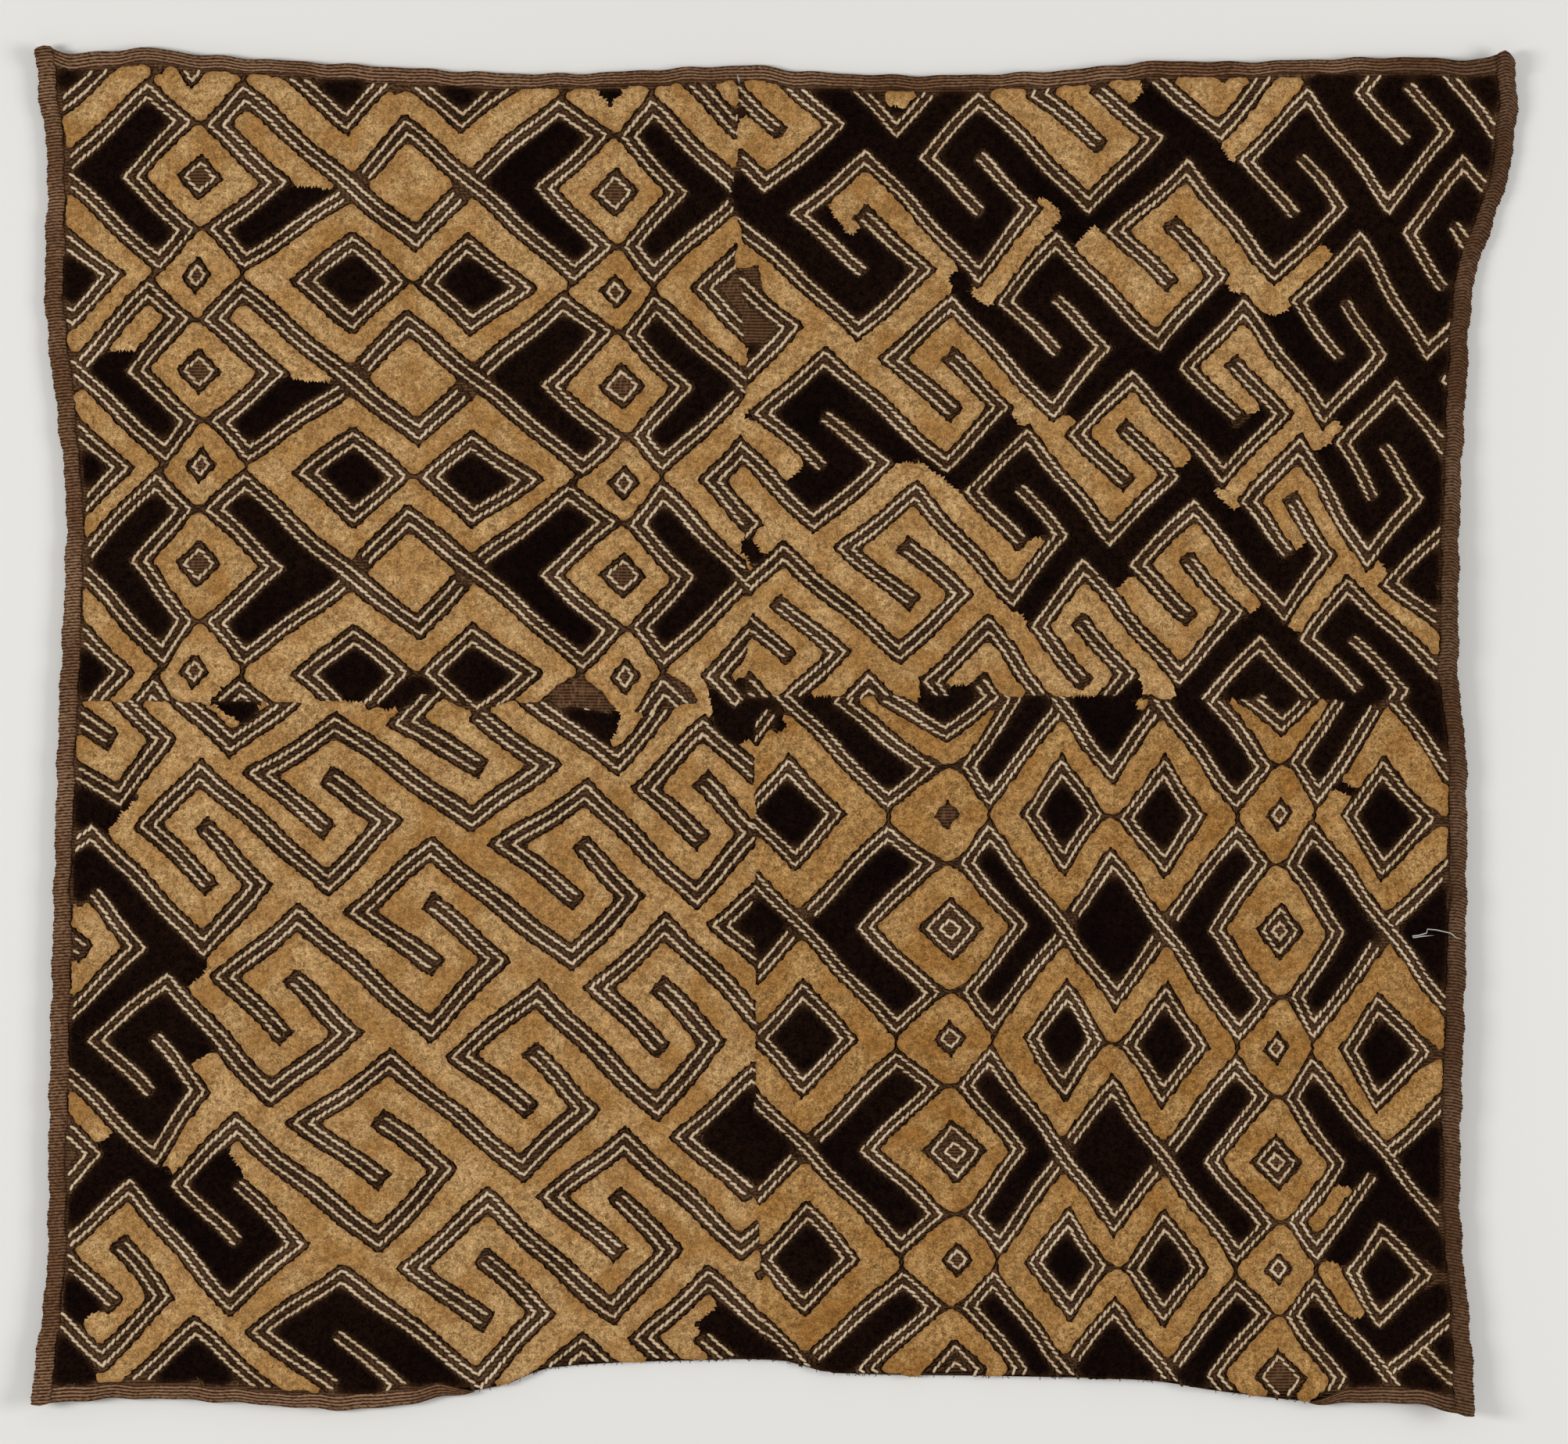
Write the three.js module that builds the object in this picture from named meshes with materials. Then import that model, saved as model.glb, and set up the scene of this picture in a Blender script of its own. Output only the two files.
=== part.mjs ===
// Cut-pile raffia panel lying face up on a flat surface.
// Millimetres, +Z up, +X to the right of the panel, +Y towards its top edge.
// The turned hems lap at the corners, the pile stands inside them and the edges curl up a little.
import * as THREE from 'three';

// Driving sizes
const SIDE_HEM = 8.6; // width of the hems turned over down both sides
const END_HEM = 6.4; // width of the hems turned over along the top and the bottom
const HEM_HEIGHT = 2.7; // the folded hem, from the surface it lies on
const GROUND = 1.3; // the bare woven ground in the groove beside the hem
const PILE_HEIGHT = 3.2; // the face of the pile, from the surface the panel lies on
const GROOVE = 1.5; // clear run of ground between the hem and the pile
const PILE_RUN = 2.4; // run in which the pile comes up to its full height
const LAP_RISE = 1.7; // extra height where a side hem lies over an end hem
const CELL = 17; // spacing of the panel's lines inside the hems
const UNEVEN = 0.22; // how far the pile's face strays from level
const UNEVEN_RUN = 46; // run of one rise and fall of that face

// Where each edge lies, measured from the middle of the panel, in order along the edge
const LEFT_EDGE = [
  { y: -275.0, x: -303.5 },
  { y: -249.0, x: -300.5 },
  { y: -220.0, x: -297.0 },
  { y: -156.0, x: -296.2 },
  { y: -65.0, x: -294.2 },
  { y: 6.0, x: -292.3 },
  { y: 63.0, x: -289.8 },
  { y: 95.0, x: -289.4 },
  { y: 121.0, x: -292.0 },
  { y: 175.0, x: -298.0 },
  { y: 234.0, x: -297.1 },
  { y: 256.0, x: -300.0 },
  { y: 278.5, x: -302.0 },
];
const RIGHT_EDGE = [
  { y: -279.5, x: 285.5 },
  { y: -250.0, x: 284.3 },
  { y: -193.0, x: 279.8 },
  { y: -85.0, x: 282.1 },
  { y: -9.0, x: 282.4 },
  { y: 19.0, x: 279.2 },
  { y: 91.0, x: 279.8 },
  { y: 141.0, x: 282.7 },
  { y: 184.0, x: 286.2 },
  { y: 219.0, x: 297.8 },
  { y: 239.0, x: 302.2 },
  { y: 260.0, x: 303.5 },
  { y: 274.5, x: 302.0 },
];
const TOP_EDGE = [
  { x: -302.0, y: 278.5 },
  { x: -295.0, y: 279.2 },
  { x: -289.0, y: 277.0 },
  { x: -255.5, y: 279.5 },
  { x: -237.0, y: 277.0 },
  { x: -174.0, y: 272.8 },
  { x: -93.0, y: 269.0 },
  { x: -9.0, y: 272.5 },
  { x: 12.0, y: 270.0 },
  { x: 63.0, y: 268.3 },
  { x: 115.0, y: 270.2 },
  { x: 157.0, y: 274.1 },
  { x: 188.0, y: 273.8 },
  { x: 255.0, y: 275.7 },
  { x: 290.0, y: 274.7 },
  { x: 298.5, y: 277.3 },
  { x: 302.0, y: 274.5 },
];
const BOTTOM_EDGE = [
  { x: -303.5, y: -275.0 },
  { x: -260.0, y: -273.0 },
  { x: -211.0, y: -275.4 },
  { x: -181.0, y: -277.6 },
  { x: -158.0, y: -276.6 },
  { x: -131.0, y: -271.8 },
  { x: -110.0, y: -268.0 },
  { x: -92.0, y: -261.3 },
  { x: -30.0, y: -258.1 },
  { x: 4.0, y: -258.4 },
  { x: 22.0, y: -263.0 },
  { x: 94.0, y: -264.6 },
  { x: 154.0, y: -266.4 },
  { x: 180.0, y: -270.4 },
  { x: 222.0, y: -275.0 },
  { x: 257.0, y: -274.7 },
  { x: 285.5, y: -279.5 },
];

// How the bottom hem shows: turned to the front at both ends, turned under along the middle
const BOTTOM_HEM = [
  { x: -303.5, shown: 1 },
  { x: -132.0, shown: 1 },
  { x: -112.0, shown: 0 },
  { x: 192.0, shown: 0 },
  { x: 218.0, shown: 1 },
  { x: 285.5, shown: 1 },
];

// How each edge curls up: at is the share of the edge from its left or lower end
const LEFT_CURL = [
  { at: 0.0, rise: 5.0, reach: 62 },
  { at: 0.16, rise: 4.2, reach: 58 },
  { at: 0.4, rise: 4.0, reach: 54 },
  { at: 0.62, rise: 3.0, reach: 50 },
  { at: 0.84, rise: 1.8, reach: 42 },
  { at: 1.0, rise: 2.4, reach: 40 },
];
const RIGHT_CURL = [
  { at: 0.0, rise: 8.0, reach: 74 },
  { at: 0.14, rise: 7.0, reach: 72 },
  { at: 0.28, rise: 8.6, reach: 80 },
  { at: 0.46, rise: 6.0, reach: 70 },
  { at: 0.59, rise: 8.4, reach: 80 },
  { at: 0.74, rise: 4.8, reach: 66 },
  { at: 0.88, rise: 2.2, reach: 48 },
  { at: 1.0, rise: 3.2, reach: 44 },
];
const TOP_CURL = [
  { at: 0.0, rise: 1.6, reach: 34 },
  { at: 0.14, rise: 2.0, reach: 38 },
  { at: 0.4, rise: 0.6, reach: 30 },
  { at: 0.72, rise: 1.4, reach: 36 },
  { at: 1.0, rise: 2.2, reach: 40 },
];
const BOTTOM_CURL = [
  { at: 0.0, rise: 2.4, reach: 46 },
  { at: 0.2, rise: 3.0, reach: 48 },
  { at: 0.38, rise: 1.2, reach: 36 },
  { at: 0.62, rise: 1.6, reach: 38 },
  { at: 0.84, rise: 2.6, reach: 46 },
  { at: 1.0, rise: 3.0, reach: 50 },
];

// Lines of a hem's section, from the fold inwards: inset from the edge, and the top and under heights
function hemSection(width) {
  return [
    { inset: 0, top: HEM_HEIGHT * 0.5, under: HEM_HEIGHT * 0.5 },
    { inset: 0.5, top: HEM_HEIGHT * 0.82, under: HEM_HEIGHT * 0.15 },
    { inset: 1.5, top: HEM_HEIGHT * 0.96, under: 0 },
    { inset: width * 0.5, top: HEM_HEIGHT, under: 0 },
    { inset: width - 0.9, top: HEM_HEIGHT * 0.9, under: 0 },
    { inset: width, top: GROUND, under: 0 },
    { inset: width + GROOVE, top: GROUND, under: 0 },
    { inset: width + GROOVE + PILE_RUN * 0.4, top: PILE_HEIGHT * 0.84, under: 0 },
    { inset: width + GROOVE + PILE_RUN, top: PILE_HEIGHT, under: 0 },
  ];
}

// The same lines where the cloth is turned under and the pile runs out to the edge
function turnedUnderSection(section) {
  const fullHeight = PILE_RUN * 1.5;
  return section.map((line) => ({
    inset: line.inset,
    top: Math.max(line.under, PILE_HEIGHT * (0.42 + 0.58 * Math.sqrt(Math.min(1, line.inset / fullHeight)))),
    under: line.under,
  }));
}

// Smooth curve through one column of a table, worked along another column
function along(table, key, column, value) {
  const last = table.length - 1;
  let row = 0;
  while (row < last - 1 && value > table[row + 1][key]) {
    row += 1;
  }
  const slope = (k) => {
    const a = table[Math.max(k - 1, 0)];
    const b = table[Math.min(k + 1, last)];
    return (b[column] - a[column]) / (b[key] - a[key]);
  };
  const span = table[row + 1][key] - table[row][key];
  const t = THREE.MathUtils.clamp((value - table[row][key]) / span, 0, 1);
  const t2 = t * t;
  const t3 = t2 * t;
  return (2 * t3 - 3 * t2 + 1) * table[row][column]
    + (t3 - 2 * t2 + t) * span * slope(row)
    + (3 * t2 - 2 * t3) * table[row + 1][column]
    + (t3 - t2) * span * slope(row + 1);
}

// A point of an edge at a share of its length; edges up the panel run on y, edges across it on x
function edgePoint(table, key, column, share) {
  const first = table[0][key];
  const run = table[table.length - 1][key] - first;
  const place = first + run * share;
  const off = along(table, key, column, place);
  return key === 'x' ? new THREE.Vector2(place, off) : new THREE.Vector2(off, place);
}

// The panel's face spread between its four edges: the two ruled spreads less their shared corners
function facePoint(u, v) {
  const left = edgePoint(LEFT_EDGE, 'y', 'x', v);
  const right = edgePoint(RIGHT_EDGE, 'y', 'x', v);
  const bottom = edgePoint(BOTTOM_EDGE, 'x', 'y', u);
  const top = edgePoint(TOP_EDGE, 'x', 'y', u);
  const lower = edgePoint(LEFT_EDGE, 'y', 'x', 0).lerp(edgePoint(RIGHT_EDGE, 'y', 'x', 0), u);
  const upper = edgePoint(LEFT_EDGE, 'y', 'x', 1).lerp(edgePoint(RIGHT_EDGE, 'y', 'x', 1), u);
  return left.lerp(right, u).add(bottom.lerp(top, v)).sub(lower.lerp(upper, v));
}

// How far one curling edge lifts a point at a distance inside it
function curl(table, share, distance) {
  const rise = along(table, 'at', 'rise', share);
  const reach = along(table, 'at', 'reach', share);
  const left = Math.max(0, 1 - distance / reach);
  return rise * left * left;
}

// Lines across the panel: a hem section at each end and even cells between
function panelLines(section, length) {
  const insets = section.map((line) => line.inset);
  const inner = insets[insets.length - 1];
  const cells = Math.round((length - 2 * inner) / CELL);
  const step = (length - 2 * inner) / cells;
  const middle = Array.from({ length: cells - 1 }, (_, k) => inner + step * (k + 1));
  const far = insets.map((inset) => length - inset).reverse();
  return [...insets, ...middle, ...far];
}

// Top and under heights at a distance inside an edge
function sectionHeights(section, distance) {
  const inside = distance >= section[section.length - 1].inset;
  const at = inside ? section[section.length - 1].inset : distance;
  let row = 0;
  while (row < section.length - 2 && at > section[row + 1].inset) {
    row += 1;
  }
  const a = section[row];
  const b = section[row + 1];
  const t = (at - a.inset) / (b.inset - a.inset);
  return {
    top: THREE.MathUtils.lerp(a.top, b.top, t),
    under: THREE.MathUtils.lerp(a.under, b.under, t),
  };
}

const sideSection = hemSection(SIDE_HEM);
const endSection = hemSection(END_HEM);
const rawSection = turnedUnderSection(endSection);
const panelWidth = (RIGHT_EDGE[0].x - LEFT_EDGE[0].x + TOP_EDGE[TOP_EDGE.length - 1].x - TOP_EDGE[0].x) / 2;
const panelLength = (LEFT_EDGE[LEFT_EDGE.length - 1].y - LEFT_EDGE[0].y
  + RIGHT_EDGE[RIGHT_EDGE.length - 1].y - RIGHT_EDGE[0].y) / 2;

// Top and under heights of the cloth at a place given in millimetres across and up the panel
function clothHeights(across, up) {
  const u = across / panelWidth;
  const v = up / panelLength;
  const point = facePoint(u, v);
  const fromSide = Math.min(across, panelWidth - across);
  const fromEnd = Math.min(up, panelLength - up);
  const lowerHalf = up < panelLength / 2;
  const shown = lowerHalf ? THREE.MathUtils.clamp(along(BOTTOM_HEM, 'x', 'shown', point.x), 0, 1) : 1;
  const side = sectionHeights(sideSection, fromSide);
  const hemmed = sectionHeights(endSection, fromEnd);
  const raw = sectionHeights(rawSection, fromEnd);
  const endTop = THREE.MathUtils.lerp(raw.top, hemmed.top, shown);
  const inSide = fromSide < SIDE_HEM;
  const inEnd = fromEnd < END_HEM;
  let top = Math.min(side.top, endTop);
  if (inSide && inEnd) {
    top = side.top + LAP_RISE * Math.min(1, endTop / HEM_HEIGHT) * Math.min(1, fromSide);
  } else if (inSide) {
    top = side.top;
  } else if (inEnd) {
    top = endTop;
  }
  const under = Math.max(side.under, hemmed.under);
  const wave = Math.sin(point.x / UNEVEN_RUN * 2.1 + 1.3) * Math.cos(point.y / UNEVEN_RUN * 1.7 - 0.4)
    + 0.6 * Math.sin((point.x + point.y) / UNEVEN_RUN * 3.1);
  const onPile = THREE.MathUtils.smoothstep(Math.min(fromSide - SIDE_HEM, fromEnd - END_HEM), 2, 12);
  const lift = curl(LEFT_CURL, v, across) + curl(RIGHT_CURL, v, panelWidth - across)
    + curl(BOTTOM_CURL, u, up) + curl(TOP_CURL, u, panelLength - up);
  return { point, top: Math.max(top, under) + wave * UNEVEN * onPile + lift, under: under + lift };
}

// One closed skin: the top and the under face share the points of the rim
function clothGeometry() {
  const acrossLines = panelLines(sideSection, panelWidth);
  const upLines = panelLines(endSection, panelLength);
  const columns = acrossLines.length;
  const rows = upLines.length;
  const positions = [];
  const topIndex = [];
  const underIndex = [];
  for (let j = 0; j < rows; j += 1) {
    for (let i = 0; i < columns; i += 1) {
      const { point, top, under } = clothHeights(acrossLines[i], upLines[j]);
      const onRim = i === 0 || j === 0 || i === columns - 1 || j === rows - 1;
      topIndex.push(positions.length / 3);
      positions.push(point.x, point.y, onRim ? (top + under) / 2 : top);
      underIndex.push(onRim ? topIndex[topIndex.length - 1] : positions.length / 3);
      if (!onRim) {
        positions.push(point.x, point.y, under);
      }
    }
  }
  const faces = [];
  for (let j = 0; j < rows - 1; j += 1) {
    for (let i = 0; i < columns - 1; i += 1) {
      const a = j * columns + i;
      const b = a + 1;
      const c = a + columns + 1;
      const d = a + columns;
      const risesRight = (i < columns / 2) === (j < rows / 2);
      const corners = risesRight ? [a, b, c, a, c, d] : [b, c, d, b, d, a];
      faces.push(...corners.map((k) => topIndex[k]));
      faces.push(...corners.reverse().map((k) => underIndex[k]));
    }
  }
  const geometry = new THREE.BufferGeometry();
  geometry.setAttribute('position', new THREE.Float32BufferAttribute(positions, 3));
  geometry.setIndex(faces);
  geometry.computeVertexNormals();
  geometry.computeBoundingBox();
  const box = geometry.boundingBox;
  geometry.translate(-(box.min.x + box.max.x) / 2, -(box.min.y + box.max.y) / 2, -box.min.z);
  return geometry;
}

const raffia = new THREE.MeshStandardMaterial({ color: 0x8a6238, roughness: 0.95, metalness: 0 });
const cloth = new THREE.Mesh(clothGeometry(), raffia);
cloth.name = 'raffia_panel';

const group = new THREE.Group();
group.name = 'kuba_raffia_cloth';
group.add(cloth);

export default group;
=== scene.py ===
"""A panel of cut-pile raffia embroidery as it lies: a woven ground with turned hems, rows of stitches
and two colours of pile, worked out for each quarter from its own motif."""

import bpy
import numpy as np
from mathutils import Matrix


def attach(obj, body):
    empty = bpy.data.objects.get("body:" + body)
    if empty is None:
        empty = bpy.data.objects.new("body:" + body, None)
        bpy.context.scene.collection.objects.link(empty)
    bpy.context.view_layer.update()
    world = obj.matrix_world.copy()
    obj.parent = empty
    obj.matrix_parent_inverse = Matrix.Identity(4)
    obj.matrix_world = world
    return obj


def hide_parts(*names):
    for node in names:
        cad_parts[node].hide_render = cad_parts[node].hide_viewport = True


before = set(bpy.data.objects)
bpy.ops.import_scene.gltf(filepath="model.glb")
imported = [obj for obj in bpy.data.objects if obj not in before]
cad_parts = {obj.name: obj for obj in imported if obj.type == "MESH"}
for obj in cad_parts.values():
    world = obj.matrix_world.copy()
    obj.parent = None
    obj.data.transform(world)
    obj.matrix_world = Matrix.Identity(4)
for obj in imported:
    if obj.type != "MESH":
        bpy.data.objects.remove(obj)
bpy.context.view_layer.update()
draw = np.random.default_rng(20)  # every random number below comes from it, in order

MM = 0.001
CHART = 0.32  # millimetres for one unit of the pattern's chart
CHART_MID = np.array([990.5, 935.5])  # the chart's units at the panel's middle, y downwards

# Sizes of the woven panel, in millimetres
SIDE_HEM = 7.3  # width of the hems down both sides
END_HEM = 6.4  # width of the hems along the top and the bottom
HEM_HEIGHT = 2.7  # a folded hem, over the surface that it lies on
HEM_RUN_OUT = 17.0  # the bottom hem grows to its full width over this run
HEM_CROWN = 0.12  # how much a hem's top swells between its edges
HEM_SETTLE = 0.25  # how much it drops at its inner edge
FOLD_BULGE = 1.1  # how far its fold is drawn out, against a half circle
HEM_UNDER = 0.02  # height of its under face, half way across
HEM_UNDER_INSET = 0.2  # its under face stops this far short of its inner edge
HEM_TOP_INSET = 0.5  # and so does its top
HEM_SHOULDER = 0.72  # height of its inner shoulder, as a share of its own
HEM_LEAN = 0.05  # how far its inner wall leans each way
HEM_LEAST = 0.1  # width left of the bottom hem where it has run out, as a share
SIDE_HEM_POINTS = 5  # points across the top of a side hem
END_HEM_POINTS = 18  # and of an end hem, whose ribs run along it
TOP_STATIONS = 200  # sections along the top hem
BOTTOM_STATIONS = (80, 40)  # and along the left and the right run of the bottom hem
RIB_STATIONS = 3  # and for each rib of a side hem
NEXT_TO_LAST = 0.75  # size of the section before a hem's closed end, as a share
END_HEM_SHORT = 1.0  # the end hems stop this far short of the panel's sides
SIDE_HEM_LOW = 0.4  # the side hems reach this far past the lower edge
LEFT_HEM_HIGH = 0.9  # the left one reaches this far past the upper edge
RIGHT_HEM_HIGH = 0.6  # and the right one this far
LAP_RISE = 1.7  # how much higher a side hem lies where it laps an end hem
LAP_RAMP = 3.0  # the run over which it rises
GROUND_TOP = 1.25  # the woven ground's upper face
GROUND_UNDER = 0.12  # its under face
GROUND_INSET = 0.7  # how far it stays inside the folds
GROUND_STEP = 7.0  # spacing of its mesh
GROOVE = 0.5  # bare ground between a hem and the pile
CUT_EDGE = 0.8  # bare ground where the pile runs out to the lower edge
RIB_PITCH = 1.3  # spacing of the weave's ribs
RIB_DEPTH = 0.17
RIB_FROM = 0.4  # a hem has ribs above this height

# Sizes of the embroidery, in millimetres
CREAM_PITCH = 2.7  # spacing of the undyed stitches along a row
BROWN_PITCH = 2.8  # and of the brown stitches
CREAM_HALF = 0.55  # half the width of an undyed row
ROW_MARGIN = 0.9  # stitches keep this far inside the field
ROW_REACH = 1.6  # the brown rows round an open band run on past its ends
TAN_REACH = 3.2  # and so does its gap in tan pile
BLACK_REACH = 1.0  # and its gap in black pile
TAN_CLEAR = 0.8  # gap between a band's outer row and tan pile
BLACK_CLEAR = 1.5  # gap between a band's undyed row and black pile
RING_EDGE = 1.9  # bare edge round a diamond's outermost ring
LINK_HALF = 0.9  # half the width of the gap under a row that links two bands
BOW_TIE_RISE = 0.65  # half the width of a bow tie's ends, as a share of half its length
PILE_PITCH = 1.315  # spacing of the pile's mesh along a line
LINE_SHARE = 0.866  # spacing of its lines, as a share of the pitch
PILE_SIZE = (612, 566)  # size of its mesh, a little over the panel's
PILE_MARGIN = 0.3  # pile keeps this far inside the field
PILE_TOP = 3.1  # height of the pile's cut ends
PILE_UNEVEN = 0.17  # spread of that height
PILE_SHIFT = 0.33  # how far a cut end may stand aside
PILE_ROOT = 0.9  # height of its roots
PILE_LEAN = 0.3  # how far its walls lean in towards the roots
RIM_SHIFT = 0.7  # how much of PILE_SHIFT is left at its rims, as a share
RIM_DROP = 1.3  # how much lower it lies at its rims
RIM_CURVE = 1.5  # the power by which it drops towards them
RIM_SPREAD = 4  # how many times its cover is averaged for that drop
ALL_PILE = 0.99  # a point with less pile than this round it is on a rim
STROKE_END = 4.0  # how far a stroke of pile runs past its ends

# Stitches, in millimetres; the slant is in radians, and a row's own width is worked out for it
CREAM_STITCH = {"length": 3.8, "height": 1.2, "sides": 4, "slant": 0.28}
BROWN_STITCH = {"length": 3.9, "height": 0.95, "sides": 3, "slant": -0.36}
FRAYED_FIBRE = {"length": 2.0, "width": 0.32, "height": 0.3, "sides": 3, "slant": 0.0}
CREAM_WIDTH = 0.65  # width of an undyed stitch, as a share of its row's distance from the band's middle
BROWN_OVERLAP = 0.3  # how much wider a brown stitch is than its row
STITCH_SHOULDER = 0.55  # where its full thickness starts, as a share of half its length
STITCH_TUCK = 0.55  # how deep its ends are tucked, as a share of half its height
STITCH_SEAT = 0.4  # how high its middle lies over the ground, as a share of its height
HAND_TURN = 0.07  # spread of the headings, in radians
HAND_SIZE = 0.07  # spread of the sizes, as a share
HAND_SHIFT = 0.08  # spread of the places

# Where each edge lies, in mm from the panel's middle: (place along the edge, how far out it is)
LEFT_EDGE = np.array([
    (-275.0, -303.5), (-249.0, -300.5), (-220.0, -297.0), (-156.0, -296.2),
    (-65.0, -294.2), (6.0, -292.3), (63.0, -289.8), (95.0, -289.4),
    (121.0, -292.0), (175.0, -298.0), (234.0, -297.1), (256.0, -300.0),
    (278.5, -302.0),
])
RIGHT_EDGE = np.array([
    (-279.5, 285.5), (-250.0, 284.3), (-193.0, 279.8), (-85.0, 282.1),
    (-9.0, 282.4), (19.0, 279.2), (91.0, 279.8), (141.0, 282.7),
    (184.0, 286.2), (219.0, 297.8), (239.0, 302.2), (260.0, 303.5),
    (274.5, 302.0),
])
TOP_EDGE = np.array([
    (-302.0, 278.5), (-295.0, 279.2), (-289.0, 277.0), (-255.5, 279.5),
    (-237.0, 277.0), (-174.0, 272.8), (-93.0, 269.0), (-9.0, 272.5),
    (12.0, 270.0), (63.0, 268.3), (115.0, 270.2), (157.0, 274.1),
    (188.0, 273.8), (255.0, 275.7), (290.0, 274.7), (298.5, 277.3),
    (302.0, 274.5),
])
BOTTOM_EDGE = np.array([
    (-303.5, -275.0), (-260.0, -273.0), (-211.0, -275.4), (-181.0, -277.6),
    (-158.0, -276.6), (-131.0, -271.8), (-110.0, -268.0), (-92.0, -261.3),
    (-30.0, -258.1), (4.0, -258.4), (22.0, -263.0), (94.0, -264.6),
    (154.0, -266.4), (180.0, -270.4), (222.0, -275.0), (257.0, -274.7),
    (285.5, -279.5),
])
# How each edge curls up: (share along the edge, rise in mm, reach inwards in mm)
LEFT_CURL = np.array([
    (0.0, 5.0, 62), (0.16, 4.2, 58), (0.4, 4.0, 54), (0.62, 3.0, 50),
    (0.84, 1.8, 42), (1.0, 2.4, 40),
])
RIGHT_CURL = np.array([
    (0.0, 8.0, 74), (0.14, 7.0, 72), (0.28, 8.6, 80), (0.46, 6.0, 70),
    (0.59, 8.4, 80), (0.74, 4.8, 66), (0.88, 2.2, 48), (1.0, 3.2, 44),
])
TOP_CURL = np.array([
    (0.0, 1.6, 34), (0.14, 2.0, 38), (0.4, 0.6, 30), (0.72, 1.4, 36), (1.0, 2.2, 40),
])
BOTTOM_CURL = np.array([
    (0.0, 2.4, 46), (0.2, 3.0, 48), (0.38, 1.2, 36), (0.62, 1.6, 38),
    (0.84, 2.6, 46), (1.0, 3.0, 50),
])
WIDTH = (RIGHT_EDGE[0, 1] - LEFT_EDGE[0, 1] + TOP_EDGE[-1, 0] - TOP_EDGE[0, 0]) / 2
LENGTH = (LEFT_EDGE[-1, 0] - LEFT_EDGE[0, 0] + RIGHT_EDGE[-1, 0] - RIGHT_EDGE[0, 0]) / 2
# The bottom hem is turned under between these places, from the panel's middle and then from its left edge
TURNED_UNDER = np.array([-122.0, 218.0])
HEM_OPEN = (TURNED_UNDER - BOTTOM_EDGE[0, 0]) * WIDTH / (BOTTOM_EDGE[-1, 0] - BOTTOM_EDGE[0, 0])


def smooth_column(table, at, column=1):
    """A cubic through a table's rows; a row's slope is the one between its two neighbours."""
    keys, values = table[:, 0], table[:, column]
    rows = np.arange(len(keys))
    before, after = np.maximum(rows - 1, 0), np.minimum(rows + 1, len(keys) - 1)
    slope = (values[after] - values[before]) / (keys[after] - keys[before])
    row = np.clip(np.searchsorted(keys, at) - 1, 0, len(keys) - 2)
    span = keys[row + 1] - keys[row]
    t = np.clip((at - keys[row]) / span, 0, 1)
    return (
        (2 * t**3 - 3 * t**2 + 1) * values[row]
        + (t**3 - 2 * t**2 + t) * span * slope[row]
        + (3 * t**2 - 2 * t**3) * values[row + 1]
        + (t**3 - t**2) * span * slope[row + 1]
    )


def edge(table, share, upright):
    """The point of an edge at a share of its run; an upright edge runs on y, the others on x."""
    place = table[0, 0] + (table[-1, 0] - table[0, 0]) * share
    off = smooth_column(table, place)
    return np.stack((off, place) if upright else (place, off), axis=-1)


def face(across, up):
    """The panel's face in mm, spread between its edges: the ruled spread between the sides plus
    the one between the ends, less the spread between the four corners. across and up are mm
    from the left and the lower edge."""
    u, v = np.broadcast_arrays(np.asarray(across, float) / WIDTH, np.asarray(up, float) / LENGTH)
    uu, vv = u[..., None], v[..., None]
    sides = edge(LEFT_EDGE, v, True) * (1 - uu) + edge(RIGHT_EDGE, v, True) * uu
    ends = edge(BOTTOM_EDGE, u, False) * (1 - vv) + edge(TOP_EDGE, u, False) * vv
    low = edge(LEFT_EDGE, 0.0, True) * (1 - uu) + edge(RIGHT_EDGE, 0.0, True) * uu
    high = edge(LEFT_EDGE, 1.0, True) * (1 - uu) + edge(RIGHT_EDGE, 1.0, True) * uu
    return sides + ends - low * (1 - vv) - high * vv


def face_place(xy):
    """The across and up of points on the face: a guess is moved by what it misses by, six times."""
    at = xy + (WIDTH / 2, LENGTH / 2)
    for _ in range(6):
        at = at + xy - face(at[:, 0], at[:, 1])
    return at


def lift(across, up):
    """How far the curled edges raise the cloth: each edge's rise times the square of the share of
    its reach that is left."""
    u, v = across / WIDTH, up / LENGTH

    def curl(table, share, distance):
        left = np.clip(1 - distance / smooth_column(table, share, 2), 0, 1)
        return smooth_column(table, share, 1) * left**2

    return (
        curl(LEFT_CURL, v, across) + curl(RIGHT_CURL, v, WIDTH - across)
        + curl(BOTTOM_CURL, u, up) + curl(TOP_CURL, u, LENGTH - up)
    )


def lift_at(xy):
    """How far the cloth is raised at points on its face."""
    return lift(*face_place(xy).T)


def hem_share(across):
    """How much of its full width the bottom hem shows at places along it."""
    past = np.maximum(HEM_OPEN[0] - across, across - HEM_OPEN[1])
    return np.clip(past / HEM_RUN_OUT, 0, 1)


def waves(*terms):
    """A sum of sines: each term is (size, place, reach, start), in mm but for the start."""
    return sum(size * np.sin(place / reach + start) for size, place, reach, start in terms)


def waver(xy):
    """The hand's small drift from a straight line, in mm: three slow sines on each axis."""
    x, y = xy[..., 0], xy[..., 1]
    return np.stack((
        waves((0.55, y, 17, 0.6), (0.45, x + y, 29, 0), (0.6, x - 2 * y, 13, 0)),
        waves((0.55, x, 19, 2.1), (0.45, x - y, 31, 0), (0.6, 2 * x + y, 15, 0)),
    ), axis=-1)


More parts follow.
